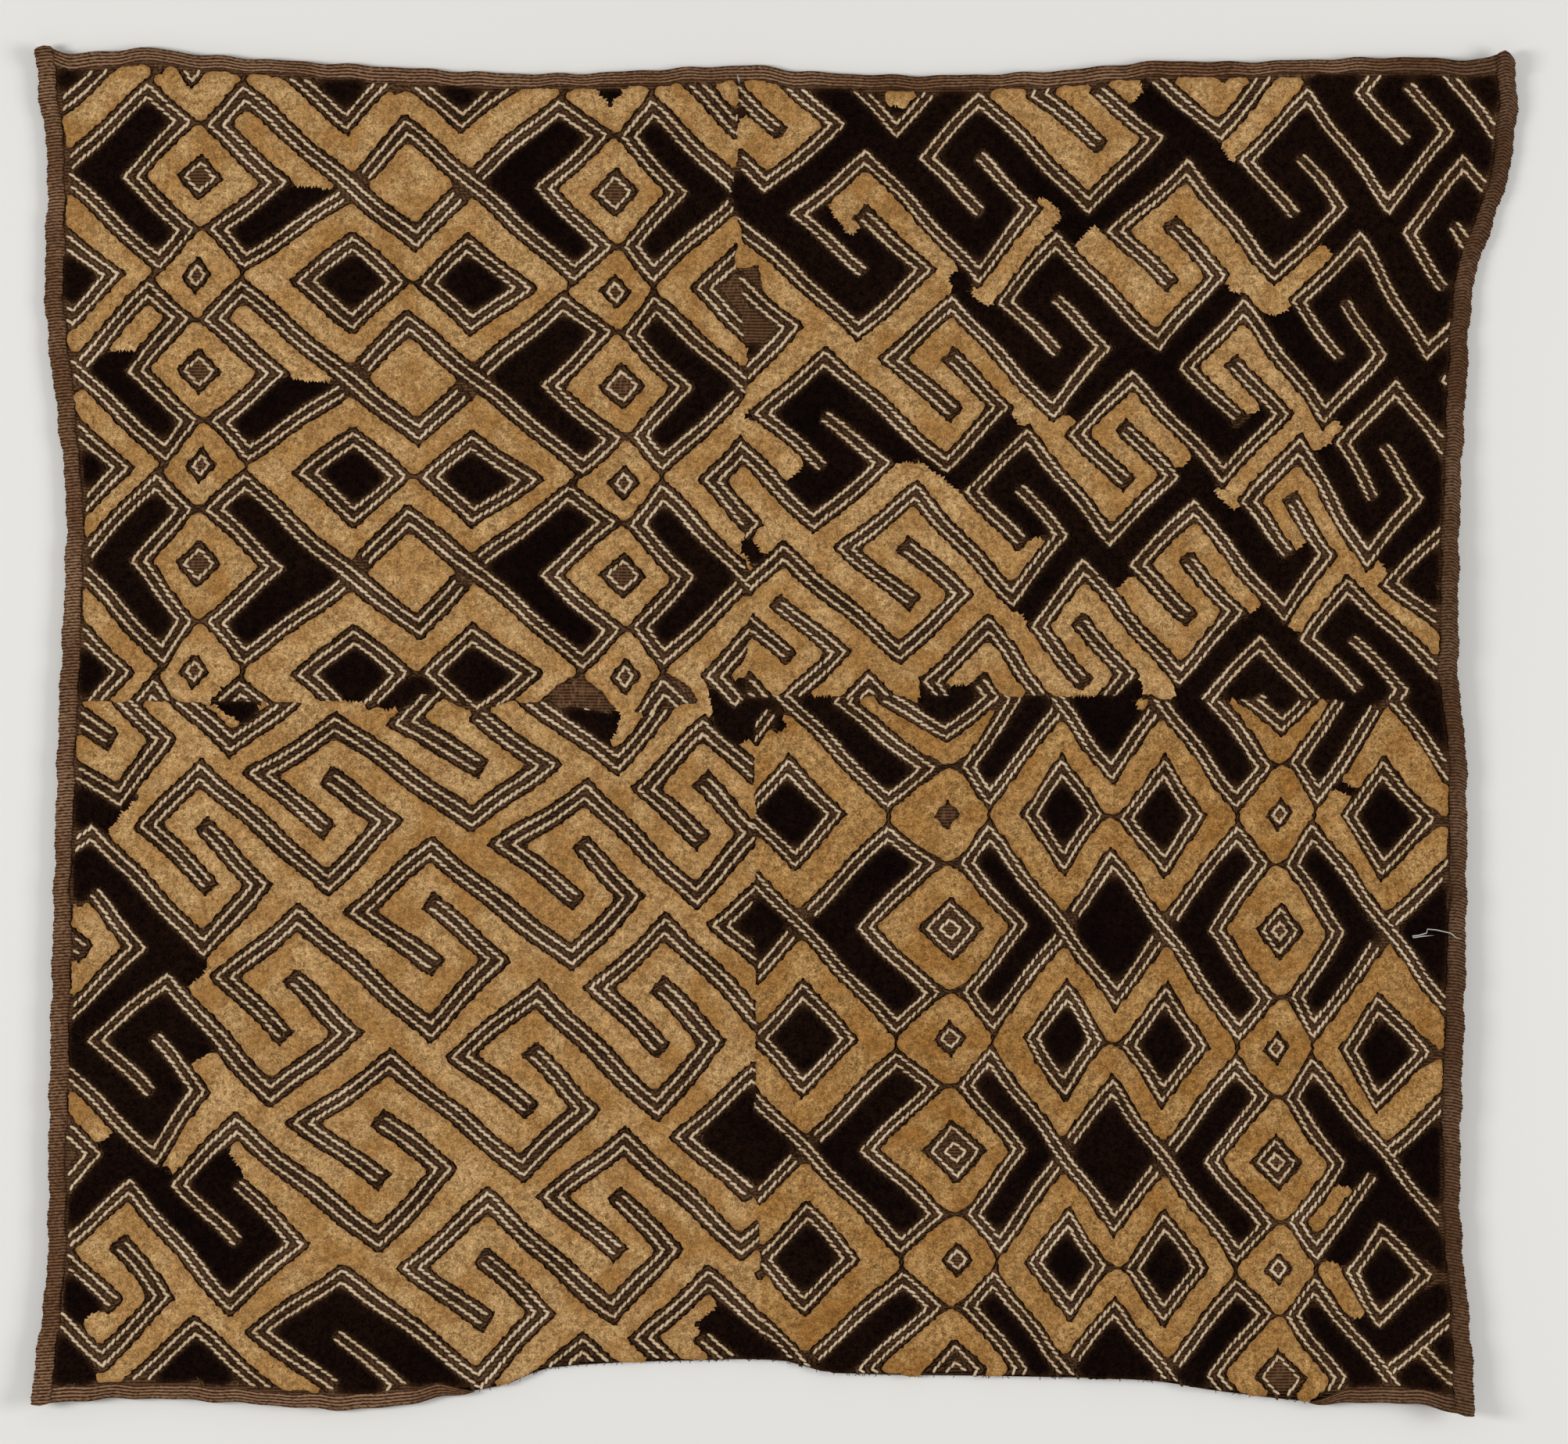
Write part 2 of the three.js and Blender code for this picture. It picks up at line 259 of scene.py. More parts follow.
# Materials

DRY_FIBRE_GLOSS = 0.03
WAVE_RADIANS = 20  # a wave texture turns through this angle for one unit of its scale


class Field:
    """A value or colour over a surface: wraps an output socket, and arithmetic adds Math nodes."""

    def __init__(self, finish, socket):
        self.finish, self.socket = finish, socket

    def _math(self, operation, first, second):
        return self.finish.node("ShaderNodeMath", {"operation": operation}, {0: first, 1: second})

    def __add__(self, other):
        return self._math("ADD", self, other)

    def __radd__(self, other):
        return self._math("ADD", other, self)

    def __sub__(self, other):
        return self._math("SUBTRACT", self, other)

    def __rsub__(self, other):
        return self._math("SUBTRACT", other, self)

    def __mul__(self, other):
        return self._math("MULTIPLY", self, other)

    def __rmul__(self, other):
        return self._math("MULTIPLY", other, self)


class Finish:
    """One material and its nodes."""

    def __init__(self, name, roughness):
        self.material = bpy.data.materials.new(name)
        self.material.use_nodes = True
        self.tree = self.material.node_tree
        self.shader = self.tree.nodes["Principled BSDF"]
        self.shader.inputs["Roughness"].default_value = roughness
        self.shader.inputs["Specular IOR Level"].default_value = DRY_FIBRE_GLOSS
        self.place = self.node("ShaderNodeTexCoord", {}, {}, "Object")

    def set(self, socket, value):
        """Links a field to a socket, or sets a plain value or colour."""
        if isinstance(value, Field):
            self.tree.links.new(value.socket, socket)
        elif socket.type == "RGBA" and len(value) == 3:
            socket.default_value = (*value, 1.0)
        else:
            socket.default_value = value

    def node(self, kind, settings, sockets, output=0):
        """Adds a node of that type, sets it up, then fills its sockets; gives one output."""
        node = self.tree.nodes.new(kind)
        for key, value in settings.items():
            setattr(node, key, value)
        for key, value in sockets.items():
            self.set(node.inputs[key], value)
        return Field(self, node.outputs[output])

    def stretched(self, scale):
        """Places scaled by their own amount on each axis."""
        return self.node("ShaderNodeMapping", {}, {"Vector": self.place, "Scale": scale})

    def noise(self, scale, detail=2.0, place=None):
        sockets = {"Vector": place or self.place, "Scale": scale, "Detail": detail}
        return self.node("ShaderNodeTexNoise", {}, sockets, "Fac")

    def between(self, value, low, high):
        """0 below low, 1 above high, smooth between."""
        settings = {"interpolation_type": "SMOOTHSTEP"}
        sockets = {"Value": value, "From Min": low, "From Max": high}
        return self.node("ShaderNodeMapRange", settings, sockets)

    def mix(self, share, first, second):
        """The first colour with a share of the second."""
        sockets = {0: share, 6: first, 7: second}
        return self.node("ShaderNodeMix", {"data_type": "RGBA"}, sockets, 2)

    def paint(self, colour):
        self.set(self.shader.inputs["Base Color"], colour)

    def bump(self, height, strength, distance):
        sockets = {"Height": height, "Strength": strength, "Distance": distance}
        self.set(self.shader.inputs["Normal"], self.node("ShaderNodeBump", {}, sockets, "Normal"))


def pile_finish(name, deep, body, pale, warm, rim_shade_and_fuzz):
    """Cut pile: warm and pale patches a few centimetres across, clumps and single fibre ends in their own
    tones, darker where they are low and in pits as painted shade between the tufts, a rim colour that is
    partly painted shade and partly brown fuzz, and the fibre ends as bump."""
    finish = Finish(name, 0.95)
    broad = finish.between(finish.noise(11.0, 3.0), 0.38, 0.64)
    cloudy = finish.between(finish.noise(75.0, 4.0), 0.36, 0.66)
    clump = finish.between(finish.noise(480.0, 2.0), 0.34, 0.66)
    fibre = finish.between(finish.noise(1500.0, 2.0), 0.34, 0.66)
    # the pits: dark specks of painted shade in the gaps between tufts, and dents in the bump
    shaded_pits = finish.between(finish.noise(760.0, 0.0), 0.62, 0.72)
    colour = finish.mix(broad, warm, body)
    colour = finish.mix(cloudy * 0.7, colour, pale)
    # the deep colour where clumps and fibre ends are low and in the pits: partly random grain, partly
    # painted shade between the tufts
    colour = finish.mix((1 - clump) * 0.42 + (1 - fibre) * 0.51 + shaded_pits * 0.18, colour, deep)
    # rim colour: on tan pile a darker colour, partly painted shade along the rims and partly brown fuzz; on
    # black pile a lighter brown fuzz
    rim = finish.node("ShaderNodeAttribute", {"attribute_name": "rim"}, {}, "Fac")
    colour = finish.mix(finish.between(rim + fibre * 0.1, 0.18, 0.62), colour, rim_shade_and_fuzz)
    finish.paint(colour)
    finish.bump(clump * 0.7 + fibre - shaded_pits * 0.6, 0.7, 0.0006)
    return finish.material


def stitch_finish(name, dark, body, pale):
    """Stitched raffia: a shade for each stitch and fine fibres along the row as bump."""
    finish = Finish(name, 0.8)
    stitch = finish.between(finish.noise(380.0, 2.0), 0.34, 0.66)
    worn = finish.between(finish.noise(30.0, 3.0), 0.42, 0.72)
    colour = finish.mix(stitch, dark, body)
    colour = finish.mix(worn * 0.6, colour, pale)
    finish.paint(colour)
    finish.bump(finish.noise(1900.0, 2.0), 0.45, 0.0003)
    return finish.material


def ground_finish(name, dark, body, pale):
    """Plain-woven raffia: ribs across the panel, broken by the upright strips, darker in their low places as
    painted shade, with pale wear.
    """
    finish = Finish(name, 0.85)
    ribs = finish.node(
        "ShaderNodeTexWave",
        {"bands_direction": "Y", "wave_profile": "SIN"},
        {"Vector": finish.place, "Scale": 2 * np.pi / (RIB_PITCH * MM) / WAVE_RADIANS,
         "Distortion": 1.2, "Detail": 1.0, "Detail Scale": 0.4},
        "Fac",
    )
    strips = finish.noise(1.0, 2.0, finish.stretched((900.0, 330.0, 900.0)))
    patch = finish.between(finish.noise(26.0, 3.0), 0.35, 0.7)
    # darker where the ribs and strips are low: painted shade in the weave's gaps
    colour = finish.mix(finish.between(ribs * 0.55 + strips * 0.6, 0.3, 0.85), dark, body)
    colour = finish.mix(patch * finish.between(strips, 0.45, 0.7) * 0.75, colour, pale)
    finish.paint(colour)
    finish.bump(ribs + strips * 0.5, 0.6, 0.0005)
    return finish.material


def hem_finish(name, dark, body, pale):
    """The same weave turned over: its raised ribs carry a painted highlight and the gaps between them
    painted shade, broken into dashes, worn patches are paler still on the lit ribs, and the right edge is
    darker as painted shade."""
    finish = Finish(name, 0.85)
    rib = finish.node("ShaderNodeAttribute", {"attribute_name": "rib"}, {}, "Fac")
    dashes = finish.noise(1.0, 2.0, finish.stretched((640.0, 1350.0, 900.0)))
    patch = finish.between(finish.noise(24.0, 4.0), 0.36, 0.66)
    # lit: painted highlight on the raised ribs and painted shade in the gaps, broken by the dashes
    lit = finish.between(rib * 0.3 + dashes, 0.28, 0.84)
    colour = finish.mix(lit, dark, body)
    # pale worn patches, shown only where the painted highlight falls
    colour = finish.mix(patch * lit * 0.8, colour, pale)
    # painted shade: the hem turns darker towards the right edge
    east = finish.node("ShaderNodeSeparateXYZ", {}, {0: finish.place}, "X")
    colour = finish.mix(finish.between(east, 0.2, 0.3) * 0.5, colour, dark)
    finish.paint(colour)
    finish.bump(dashes, 0.7, 0.0007)
    return finish.material


# Pile colours: dark of the grain (partly painted shade between tufts), body, pale, warm, and rim (painted
# shade with brown fuzz on tan, brown fuzz on black)
TAN_PILE = pile_finish(
    "tan_pile", (0.20, 0.10, 0.032), (0.635, 0.35, 0.126), (0.86, 0.572, 0.265),
    (0.53, 0.265, 0.077), (0.33, 0.165, 0.05),
)
DEEP_TAN_PILE = pile_finish(
    "deep_tan_pile", (0.16, 0.075, 0.02), (0.555, 0.284, 0.087), (0.76, 0.47, 0.19),
    (0.465, 0.212, 0.05), (0.29, 0.14, 0.038),
)
BLACK_PILE = pile_finish(
    "black_pile", (0.0010, 0.0004, 0.0003), (0.0072, 0.0026, 0.0018), (0.0125, 0.0050, 0.0030),
    (0.0170, 0.0064, 0.0032), (0.034, 0.0145, 0.006),
)
CREAM_ROWS = stitch_finish(
    "cream_rows", (0.48, 0.34, 0.195), (0.66, 0.505, 0.335), (0.78, 0.64, 0.465),
)
BROWN_ROWS = stitch_finish(
    "brown_rows", (0.027, 0.0135, 0.0062), (0.082, 0.040, 0.0182), (0.145, 0.076, 0.038),
)
PALE_THREAD = stitch_finish(
    "pale_thread", (0.30, 0.28, 0.25), (0.46, 0.44, 0.40), (0.60, 0.58, 0.54),
)
WOVEN_GROUND = ground_finish(
    "woven_ground", (0.03, 0.014, 0.0065), (0.12, 0.058, 0.027), (0.19, 0.104, 0.054),
)
WOVEN_HEM = hem_finish(
    "woven_hem", (0.032, 0.0145, 0.0072), (0.20, 0.098, 0.047), (0.32, 0.19, 0.11),
)


# Pieces

MAP_EDGE = 0.02  # clear edge of a piece's bake map


def add_object(name, data):
    """A new object in the scene."""
    added = bpy.data.objects.new(name, data)
    bpy.context.scene.collection.objects.link(added)
    return added


def add_piece(name, points, faces, material, bake_map=None, marks=None):
    """A mesh from whole arrays: points in mm, faces with equal numbers of corners. Its bake map is
    a plan view unless another one is given, with a row for each point or each face corner; marks
    are values for each point that its material reads."""
    points = np.asarray(points, float).reshape(-1, 3)
    mesh = bpy.data.meshes.new(name)
    mesh.vertices.add(len(points))
    mesh.vertices.foreach_set("co", (points * MM).astype(np.float32).ravel())
    mesh.loops.add(faces.size)
    mesh.loops.foreach_set("vertex_index", faces.astype(np.int32).ravel())
    mesh.polygons.add(len(faces))
    mesh.polygons.foreach_set("loop_start", np.arange(0, faces.size, faces.shape[1], dtype=np.int32))
    mesh.polygons.foreach_set("use_smooth", np.ones(len(faces), dtype=bool))
    mesh.update(calc_edges=True)
    if bake_map is None:
        low, high = points[:, :2].min(axis=0), points[:, :2].max(axis=0)
        bake_map = MAP_EDGE + (1 - 2 * MAP_EDGE) * (points[:, :2] - low) / (high - low).max()
    if len(bake_map) == len(points):
        bake_map = bake_map[faces.ravel()]
    layer = mesh.uv_layers.new(name="OFBake")
    layer.data.foreach_set("uv", bake_map.astype(np.float32).ravel())
    for mark, values in (marks or {}).items():
        mesh.attributes.new(mark, "FLOAT", "POINT").data.foreach_set("value", values.astype(np.float32))
    mesh.materials.append(material)
    piece = add_object(name, mesh)
    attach(piece, "root")
    return piece


def grid_faces(rows, columns, wrap=False):
    """Corner numbers of the quads of a rows by columns grid; wrap closes it round its columns."""
    j, i = np.meshgrid(np.arange(rows - 1), np.arange(columns if wrap else columns - 1), indexing="ij")
    a, b = j * columns + i, j * columns + (i + 1) % columns
    return np.stack((a, b, b + columns, a + columns), axis=-1).reshape(-1, 4)


def woven_ground():
    """The ground cloth: one even sheet a little inside the folds, its top and under faces joined
    by a rim half way between them."""
    across = np.linspace(GROUND_INSET, WIDTH - GROUND_INSET, int(WIDTH / GROUND_STEP))
    up = np.linspace(GROUND_INSET, LENGTH - GROUND_INSET, int(LENGTH / GROUND_STEP))
    uu, vv = np.meshgrid(across, up)
    xy, raised = face(uu, vv), lift(uu, vv)
    rim = np.zeros(uu.shape, bool)
    rim[[0, -1], :] = rim[:, [0, -1]] = True
    middle = (GROUND_TOP + GROUND_UNDER) / 2
    top = np.where(rim, middle, GROUND_TOP) + raised
    under = np.where(rim, middle, GROUND_UNDER) + raised
    count = uu.size
    upper = grid_faces(*uu.shape)
    below = np.arange(count) + count
    below[rim.ravel()] = np.arange(count)[rim.ravel()]
    lower = below[upper][:, ::-1]
    points = np.concatenate((np.dstack((xy, top)).reshape(-1, 3), np.dstack((xy, under)).reshape(-1, 3)))
    used, faces = np.unique(np.concatenate((upper, lower)), return_inverse=True)
    return add_piece("woven_ground", points[used], faces.reshape(-1, 4), WOVEN_GROUND)


def hem_section(width, across_ribs):
    """A hem's closed section as (inset, height) from the inner lower corner round the fold to the
    inner upper corner; the top has across_ribs points."""
    turn = np.linspace(-np.pi / 2, np.pi / 2, 5)
    half = HEM_HEIGHT / 2
    fold = np.stack((half * (1 - np.cos(turn)) * FOLD_BULGE, half * (1 + np.sin(turn))), axis=1)
    under = np.array([(width - HEM_UNDER_INSET, GROUND_UNDER), (width / 2, HEM_UNDER)])
    share = np.linspace(0, 1, across_ribs + 1)[1:]
    inset = fold[-1, 0] + (width - HEM_TOP_INSET - fold[-1, 0]) * share
    height = HEM_HEIGHT + HEM_CROWN * np.sin(np.pi * share) - HEM_SETTLE * share**6
    top = np.stack((inset, height), axis=1)
    shoulder = HEM_HEIGHT * HEM_SHOULDER
    inner = np.array([(width - HEM_LEAN, shoulder), (width + HEM_LEAN, GROUND_TOP)])
    return np.concatenate((under, fold, top, inner))


def hem_strip(side, start, end, stations):
    """A section carried along an edge from start to end, in mm, with ribs raised on its outside.
    The last stations close on the section's middle. Gives points, quads and each point's rib, from
    -1 in a gap to 1 on a ridge."""
    upright = side in ("left", "right")
    width = SIDE_HEM if upright else END_HEM
    section = hem_section(width, SIDE_HEM_POINTS if upright else END_HEM_POINTS)
    tangent = np.roll(section, -1, axis=0) - np.roll(section, 1, axis=0)
    outward = np.stack((tangent[:, 1], -tangent[:, 0]), axis=1)
    outward /= np.linalg.norm(outward, axis=1, keepdims=True)
    run = np.linspace(start, end, stations)
    swell = 1 + waves((0.07, run, 23, 1.2), (0.05, run, 9.1, 0))
    drift = waves((0.3, run, 4.3, 0), (0.25, run, 2.7, 1.9))
    if side == "bottom":
        swell = swell * (HEM_LEAST + (1 - HEM_LEAST) * hem_share(run))
    if upright:
        drift = drift + waves((0.2, run, 0.8, waves((2, run, 11, 0))))
    inset = section[None, :, 0] * swell[:, None] + drift[:, None]
    height = np.repeat(section[None, :, 1], stations, axis=0)
    turns = run[:, None] / RIB_PITCH if upright else section[None, :, 0] / RIB_PITCH
    ribs = np.broadcast_to(np.cos(2 * np.pi * turns), inset.shape)
    raised = RIB_DEPTH * ribs * (height > RIB_FROM)
    inset = inset + raised * outward[None, :, 0]
    height = height + raised * outward[None, :, 1]
    if upright:
        from_end = np.minimum(run, LENGTH - run)
        lap = np.clip((END_HEM + LAP_RAMP / 2 - from_end) / LAP_RAMP, 0, 1)
        height = height + (LAP_RISE * lap * lap * (3 - 2 * lap))[:, None]
    close = np.ones((stations, 1))
    close[[0, -1]] = 0.0
    close[[1, -2]] = NEXT_TO_LAST
    inset, height = (
        values * close + values.mean(axis=1, keepdims=True) * (1 - close) for values in (inset, height)
    )
    along = np.broadcast_to(run[:, None], inset.shape)
    if side == "left":
        across, up = inset, along
    elif side == "right":
        across, up = WIDTH - inset, along
    elif side == "bottom":
        across, up = along, inset
    else:
        across, up = along, LENGTH - inset
    xy = face(across, up)
    points = np.dstack((xy, height + lift(np.clip(across, 0, WIDTH), np.clip(up, 0, LENGTH))))
    faces = grid_faces(*inset.shape, wrap=True)
    if side in ("left", "top"):
        faces = faces[:, ::-1]
    return points.reshape(-1, 3), faces, ribs


def turned_hems():
    """The hems: two full side hems lapped over the end hems, a full top hem, and the bottom hem
    where it is turned to the front. A strip is (side, start, end, stations), and each has its own
    band of the bake map."""
    stations = RIB_STATIONS * round(LENGTH / RIB_PITCH)
    west, east = END_HEM_SHORT, WIDTH - END_HEM_SHORT
    strips = (
        ("top", west, east, TOP_STATIONS),
        ("bottom", west, HEM_OPEN[0], BOTTOM_STATIONS[0]),
        ("bottom", HEM_OPEN[1], east, BOTTOM_STATIONS[1]),
        ("left", -SIDE_HEM_LOW, LENGTH + LEFT_HEM_HIGH, stations),
        ("right", -SIDE_HEM_LOW, LENGTH + RIGHT_HEM_HIGH, stations),
    )
    points, faces, maps, ribs, count = [], [], [], [], 0
    for k, strip in enumerate(strips):
        strip_points, strip_faces, strip_ribs = hem_strip(*strip)
        rows, columns = strip_ribs.shape
        j, i = np.meshgrid(np.arange(rows) / (rows - 1), np.arange(columns) / columns, indexing="ij")
        band = (k + 2 * MAP_EDGE + (1 - 4 * MAP_EDGE) * i) / len(strips)
        maps.append(np.stack((j, band), axis=-1).reshape(-1, 2))
        points.append(strip_points)
        faces.append(strip_faces + count)
        ribs.append(strip_ribs.ravel())
        count += len(strip_points)
    return add_piece(
        "turned_hems", np.concatenate(points), np.concatenate(faces), WOVEN_HEM, np.concatenate(maps),
        {"rib": np.concatenate(ribs)},
    )


# The pattern, on its chart


def from_chart(spots):
    """Chart units to mm from the panel's middle."""
    return (np.asarray(spots, float) - CHART_MID) * (CHART, -CHART)


def to_chart(xy):
    """Mm from the panel's middle to chart units."""
    return xy / (CHART, -CHART) + CHART_MID


class Lattice:
    """The places where a motif repeats. Charted nodes give the even lattice that fits them best;
    each node's own drift from it is carried to the places round it by a bell curve, so the motif
    bends with the nodes."""

    REACH = 0.75  # spread of the bell curve, in steps of the lattice
    EASE = 0.02  # lets the motif miss a node a little

    def __init__(self, nodes):
        nodes = np.array(nodes, float)
        self.nodes = nodes[:, :2]
        even = np.column_stack((self.nodes, np.ones(len(nodes))))
        self.fit = np.linalg.lstsq(even, nodes[:, 2:], rcond=None)[0]
        pulls = self.bells(self.nodes) + self.EASE * np.eye(len(nodes))
        self.drift = np.linalg.solve(pulls, nodes[:, 2:] - even @ self.fit)

    def bells(self, spots):
        """How strongly each node pulls on each spot."""
        gap = ((spots[:, None, :] - self.nodes[None]) ** 2).sum(axis=2)
        return np.exp(-gap / (2 * self.REACH**2))

    def at(self, spots):
        """Spots in steps of the lattice, as mm from the panel's middle."""
        spots = np.asarray(spots, float)
        even = np.column_stack((spots, np.ones(len(spots))))
        return from_chart(even @ self.fit + self.bells(spots) @ self.drift)


class Cells:
    """The places of a motif between charted nodes: straight between the four nodes round it, and
    straight on past the last ones. Nodes between the whole steps follow the hand's drift."""

    def __init__(self, nodes):
        nodes = np.array(nodes, float)
        self.columns, i = np.unique(nodes[:, 0], return_inverse=True)
        self.rows, j = np.unique(nodes[:, 1], return_inverse=True)
        self.places = np.zeros((len(self.columns), len(self.rows), 2))
        self.places[i, j] = nodes[:, 2:]

    def at(self, spots):
        """Spots in steps of the lattice, as mm from the panel's middle."""
        spots = np.asarray(spots, float)
        i, s = self.step(self.columns, spots[:, 0])
        j, t = self.step(self.rows, spots[:, 1])
        left = self.places[i, j] * (1 - t) + self.places[i, j + 1] * t
        right = self.places[i + 1, j] * (1 - t) + self.places[i + 1, j + 1] * t
        return from_chart(left * (1 - s) + right * s)

    @staticmethod
    def step(marks, at):
        """The number of the mark before each place, and the share of the way to the next one."""
        before = np.clip(np.searchsorted(marks, at, "right") - 1, 0, len(marks) - 2)
        return before, ((at - marks[before]) / (marks[before + 1] - marks[before]))[:, None]


# Hooked bands: each node is (column, row, x, y) of one hook's peak
LOWER_LEFT_HOOKS = [
    (0, -1, 137, 796), (-1, -1, -43, 880), (1, -1, 317, 712),
    (-1, 0, 120, 1055), (0, 0, 257, 980), (1, 0, 430, 922), (2, 0, 600, 838), (3, 0, 780, 754),
    (-2, 1, 52, 1325), (-1, 1, 213, 1250), (0, 1, 380, 1165), (1, 1, 553, 1080),
    (2, 1, 753, 1005), (3, 1, 900, 925),
    (-2, 2, 165, 1512), (-1, 2, 302, 1430), (0, 2, 500, 1352), (1, 2, 688, 1262), (2, 2, 847, 1180),
    (-3, 3, 95, 1772), (-2, 3, 250, 1695), (-1, 3, 437, 1625), (0, 3, 620, 1530), (1, 3, 800, 1450),
    (0, 4, 745, 1710), (1, 4, 905, 1630),
]
UPPER_RIGHT_HOOKS = [
    (-1, -2, 841, 102), (0, -2, 1020, 20),
    (-1, -1, 935, 275), (0, -1, 1107, 197), (1, -1, 1255, 125), (2, -1, 1408, 40), (3, -1, 1562, -66),
    (-2, 0, 905, 535), (-1, 0, 1055, 456), (0, 0, 1220, 385), (1, 0, 1353, 304), (2, 0, 1515, 206),
    (3, 0, 1672, 120), (4, 0, 1815, 35),
    (-3, 1, 865, 775), (-2, 1, 1000, 702), (-1, 1, 1171, 624), (0, 1, 1309, 556), (1, 1, 1448, 477),
    (2, 1, 1591, 388), (3, 1, 1740, 307), (4, 1, 1873, 204),
    (-2, 2, 1109, 868), (-1, 2, 1266, 800), (0, 2, 1388, 724), (1, 2, 1529, 643), (2, 2, 1664, 567),
    (3, 2, 1784, 491),
    (1, 3, 1610, 816), (2, 3, 1724, 746), (3, 3, 1845, 670),
]
# One hook in steps of its lattice: inner end, left corner, peak, foot, right corner, inner end
LOWER_LEFT_HOOK = [
    (-0.468, 0.63), (-0.645, 0.172), (-0.019, 0.029), (0.285, 0.945), (0.875, 0.765), (0.755, 0.34),
]
UPPER_RIGHT_HOOK = [
    (-0.44, 0.628), (-0.615, 0.17), (-0.012, 0.02), (0.29, 0.934), (0.915, 0.762), (0.754, 0.327),
]

# Interlaced bands: each node is (column, row, x, y) of one large diamond's middle
UPPER_LEFT_DIAMONDS = [
    (-1, -1, -245, -24), (-1, 0, -245, 224), (-1, 1, -160, 473), (-1, 2, -150, 722), (-1, 3, -155, 990),
    (-0.2, -1, 152, -24), (-0.2, 0, 154, 226), (-0.2, 1, 160, 475), (-0.2, 2, 169, 722), (-0.2, 3, 165, 992),
    (0, -1, 253, -24), (0, 0, 256, 228), (0, 1, 255, 476), (0, 2, 255, 722), (0, 3, 243, 998),
    (1, -1, 783, -6), (1, 0, 788, 245), (1, 1, 796, 494), (1, 2, 800, 737), (1, 3, 802, 988),
    (2, -1, 1215, -4), (2, 0, 1222, 246), (2, 1, 1228, 493), (2, 2, 1232, 737), (2, 3, 1235, 986),
]
LOWER_RIGHT_DIAMONDS = [
    (-1, -1, 673, 899), (-1, 0, 673, 1185), (-1, 1, 676, 1467), (-1, 2, 680, 1751),
    (-0.2, -1, 1076, 899), (-0.2, 0, 1107, 1185), (-0.2, 1, 1111, 1472), (-0.2, 2, 1114, 1751),
    (0, -1, 1211, 899), (0, 0, 1216, 1185), (0, 1, 1220, 1473), (0, 2, 1222, 1751),
    (1, -1, 1638, 895), (1, 0, 1637, 1192), (1, 1, 1632, 1487), (1, 2, 1640, 1763),
    (1.35, -1, 1767, 897), (1.35, 0, 1766, 1197), (1.35, 1, 1762, 1495), (1.35, 2, 1766, 1767),
    (2, -1, 2150, 897), (2, 0, 2150, 1206), (2, 1, 2150, 1500), (2, 2, 2150, 1767),
]
# The two interlaced bands of a repeat in steps of its lattice: end of the short arm, round the
# diamond, the long arm, its turn and its end
UPPER_LEFT_BANDS = (
    [(0.336, 0.063), (0.114, 0.413), (0.043, 0.265), (0.183, 0.004), (0.035, -0.275), (0.109, -0.43),
     (0.514, 0.29), (0.616, 0.066)],
    [(0.672, -0.05), (0.872, -0.42), (0.958, -0.278), (0.822, 0.002), (0.966, 0.273), (0.896, 0.427),
     (0.496, -0.285), (0.39, -0.05)],
)
LOWER_RIGHT_BANDS = (
    [(0.323, 0.048), (0.128, 0.42), (0.058, 0.283), (0.206, -0.003), (0.05, -0.285), (0.12, -0.416),
     (0.495, 0.298), (0.62, 0.05)],
    [(0.675, -0.06), (0.875, -0.42), (0.952, -0.292), (0.795, -0.006), (0.954, 0.298), (0.872, 0.428),
     (0.494, -0.298), (0.37, -0.066)],
)
# The two dark-centred eyes between columns: left, top, right and bottom corners
UPPER_LEFT_EYES = (
    [(0.254, 0.506), (0.366, 0.315), (0.471, 0.507), (0.37, 0.722)],
    [(0.55, 0.515), (0.643, 0.319), (0.769, 0.51), (0.645, 0.716)],
)
LOWER_RIGHT_EYES = (
    [(0.249, 0.495), (0.349, 0.3), (0.446, 0.502), (0.35, 0.705)],
    [(0.547, 0.503), (0.652, 0.294), (0.754, 0.506), (0.65, 0.706)],
)


def rhombus(half):
    """Left, lower, right and upper corners, from its middle."""
    wide, high = half
    return [(-wide, 0), (0, -high), (wide, 0), (0, high)]


def bow_tie(start, end):
    """Two triangles along a level run, with their tips at its middle and their bases at its ends."""
    middle = (start + end) / 2
    rise = np.array([0, BOW_TIE_RISE * np.linalg.norm(end - start) / 2])
    return np.array([start + rise, middle, end + rise, end - rise, middle, start - rise])


def cells_of(nodes):
    """Every whole (column, row) from the least to the greatest charted."""
    low, high = np.min(nodes, axis=0).astype(int), np.max(nodes, axis=0).astype(int)
    return [(c, r) for c in range(low[0], high[0] + 1) for r in range(low[1], high[1] + 1)]


def moved(path, cell):
    """A path moved by whole or part steps of its lattice."""
    return np.asarray(path, float) + cell


def segments_of(line, closed):
    """Start and end points of a line's straight runs."""
    ends = np.roll(line, -1, axis=0)
    return (line, ends) if closed else (line[:-1], ends[:-1])


SHARPEST = 0.3  # a corner sharper than this has its mitre cut short


def beside(line, gap, closed):
    """The line a gap to its left, mitred: each corner moves along the sum of its two sides'
    normals over one plus their cosine."""
    starts, ends = segments_of(line, closed)
    way = (ends - starts) / np.linalg.norm(ends - starts, axis=1, keepdims=True)
    normal = np.stack((-way[:, 1], way[:, 0]), axis=1)
    if closed:
        before, after = np.roll(normal, 1, axis=0), normal
    else:
        before = np.concatenate((normal[:1], normal))
        after = np.concatenate((normal, normal[-1:]))
    spread = 1 + (before * after).sum(axis=1, keepdims=True)
    return line + gap * (before + after) / np.maximum(spread, SHARPEST)


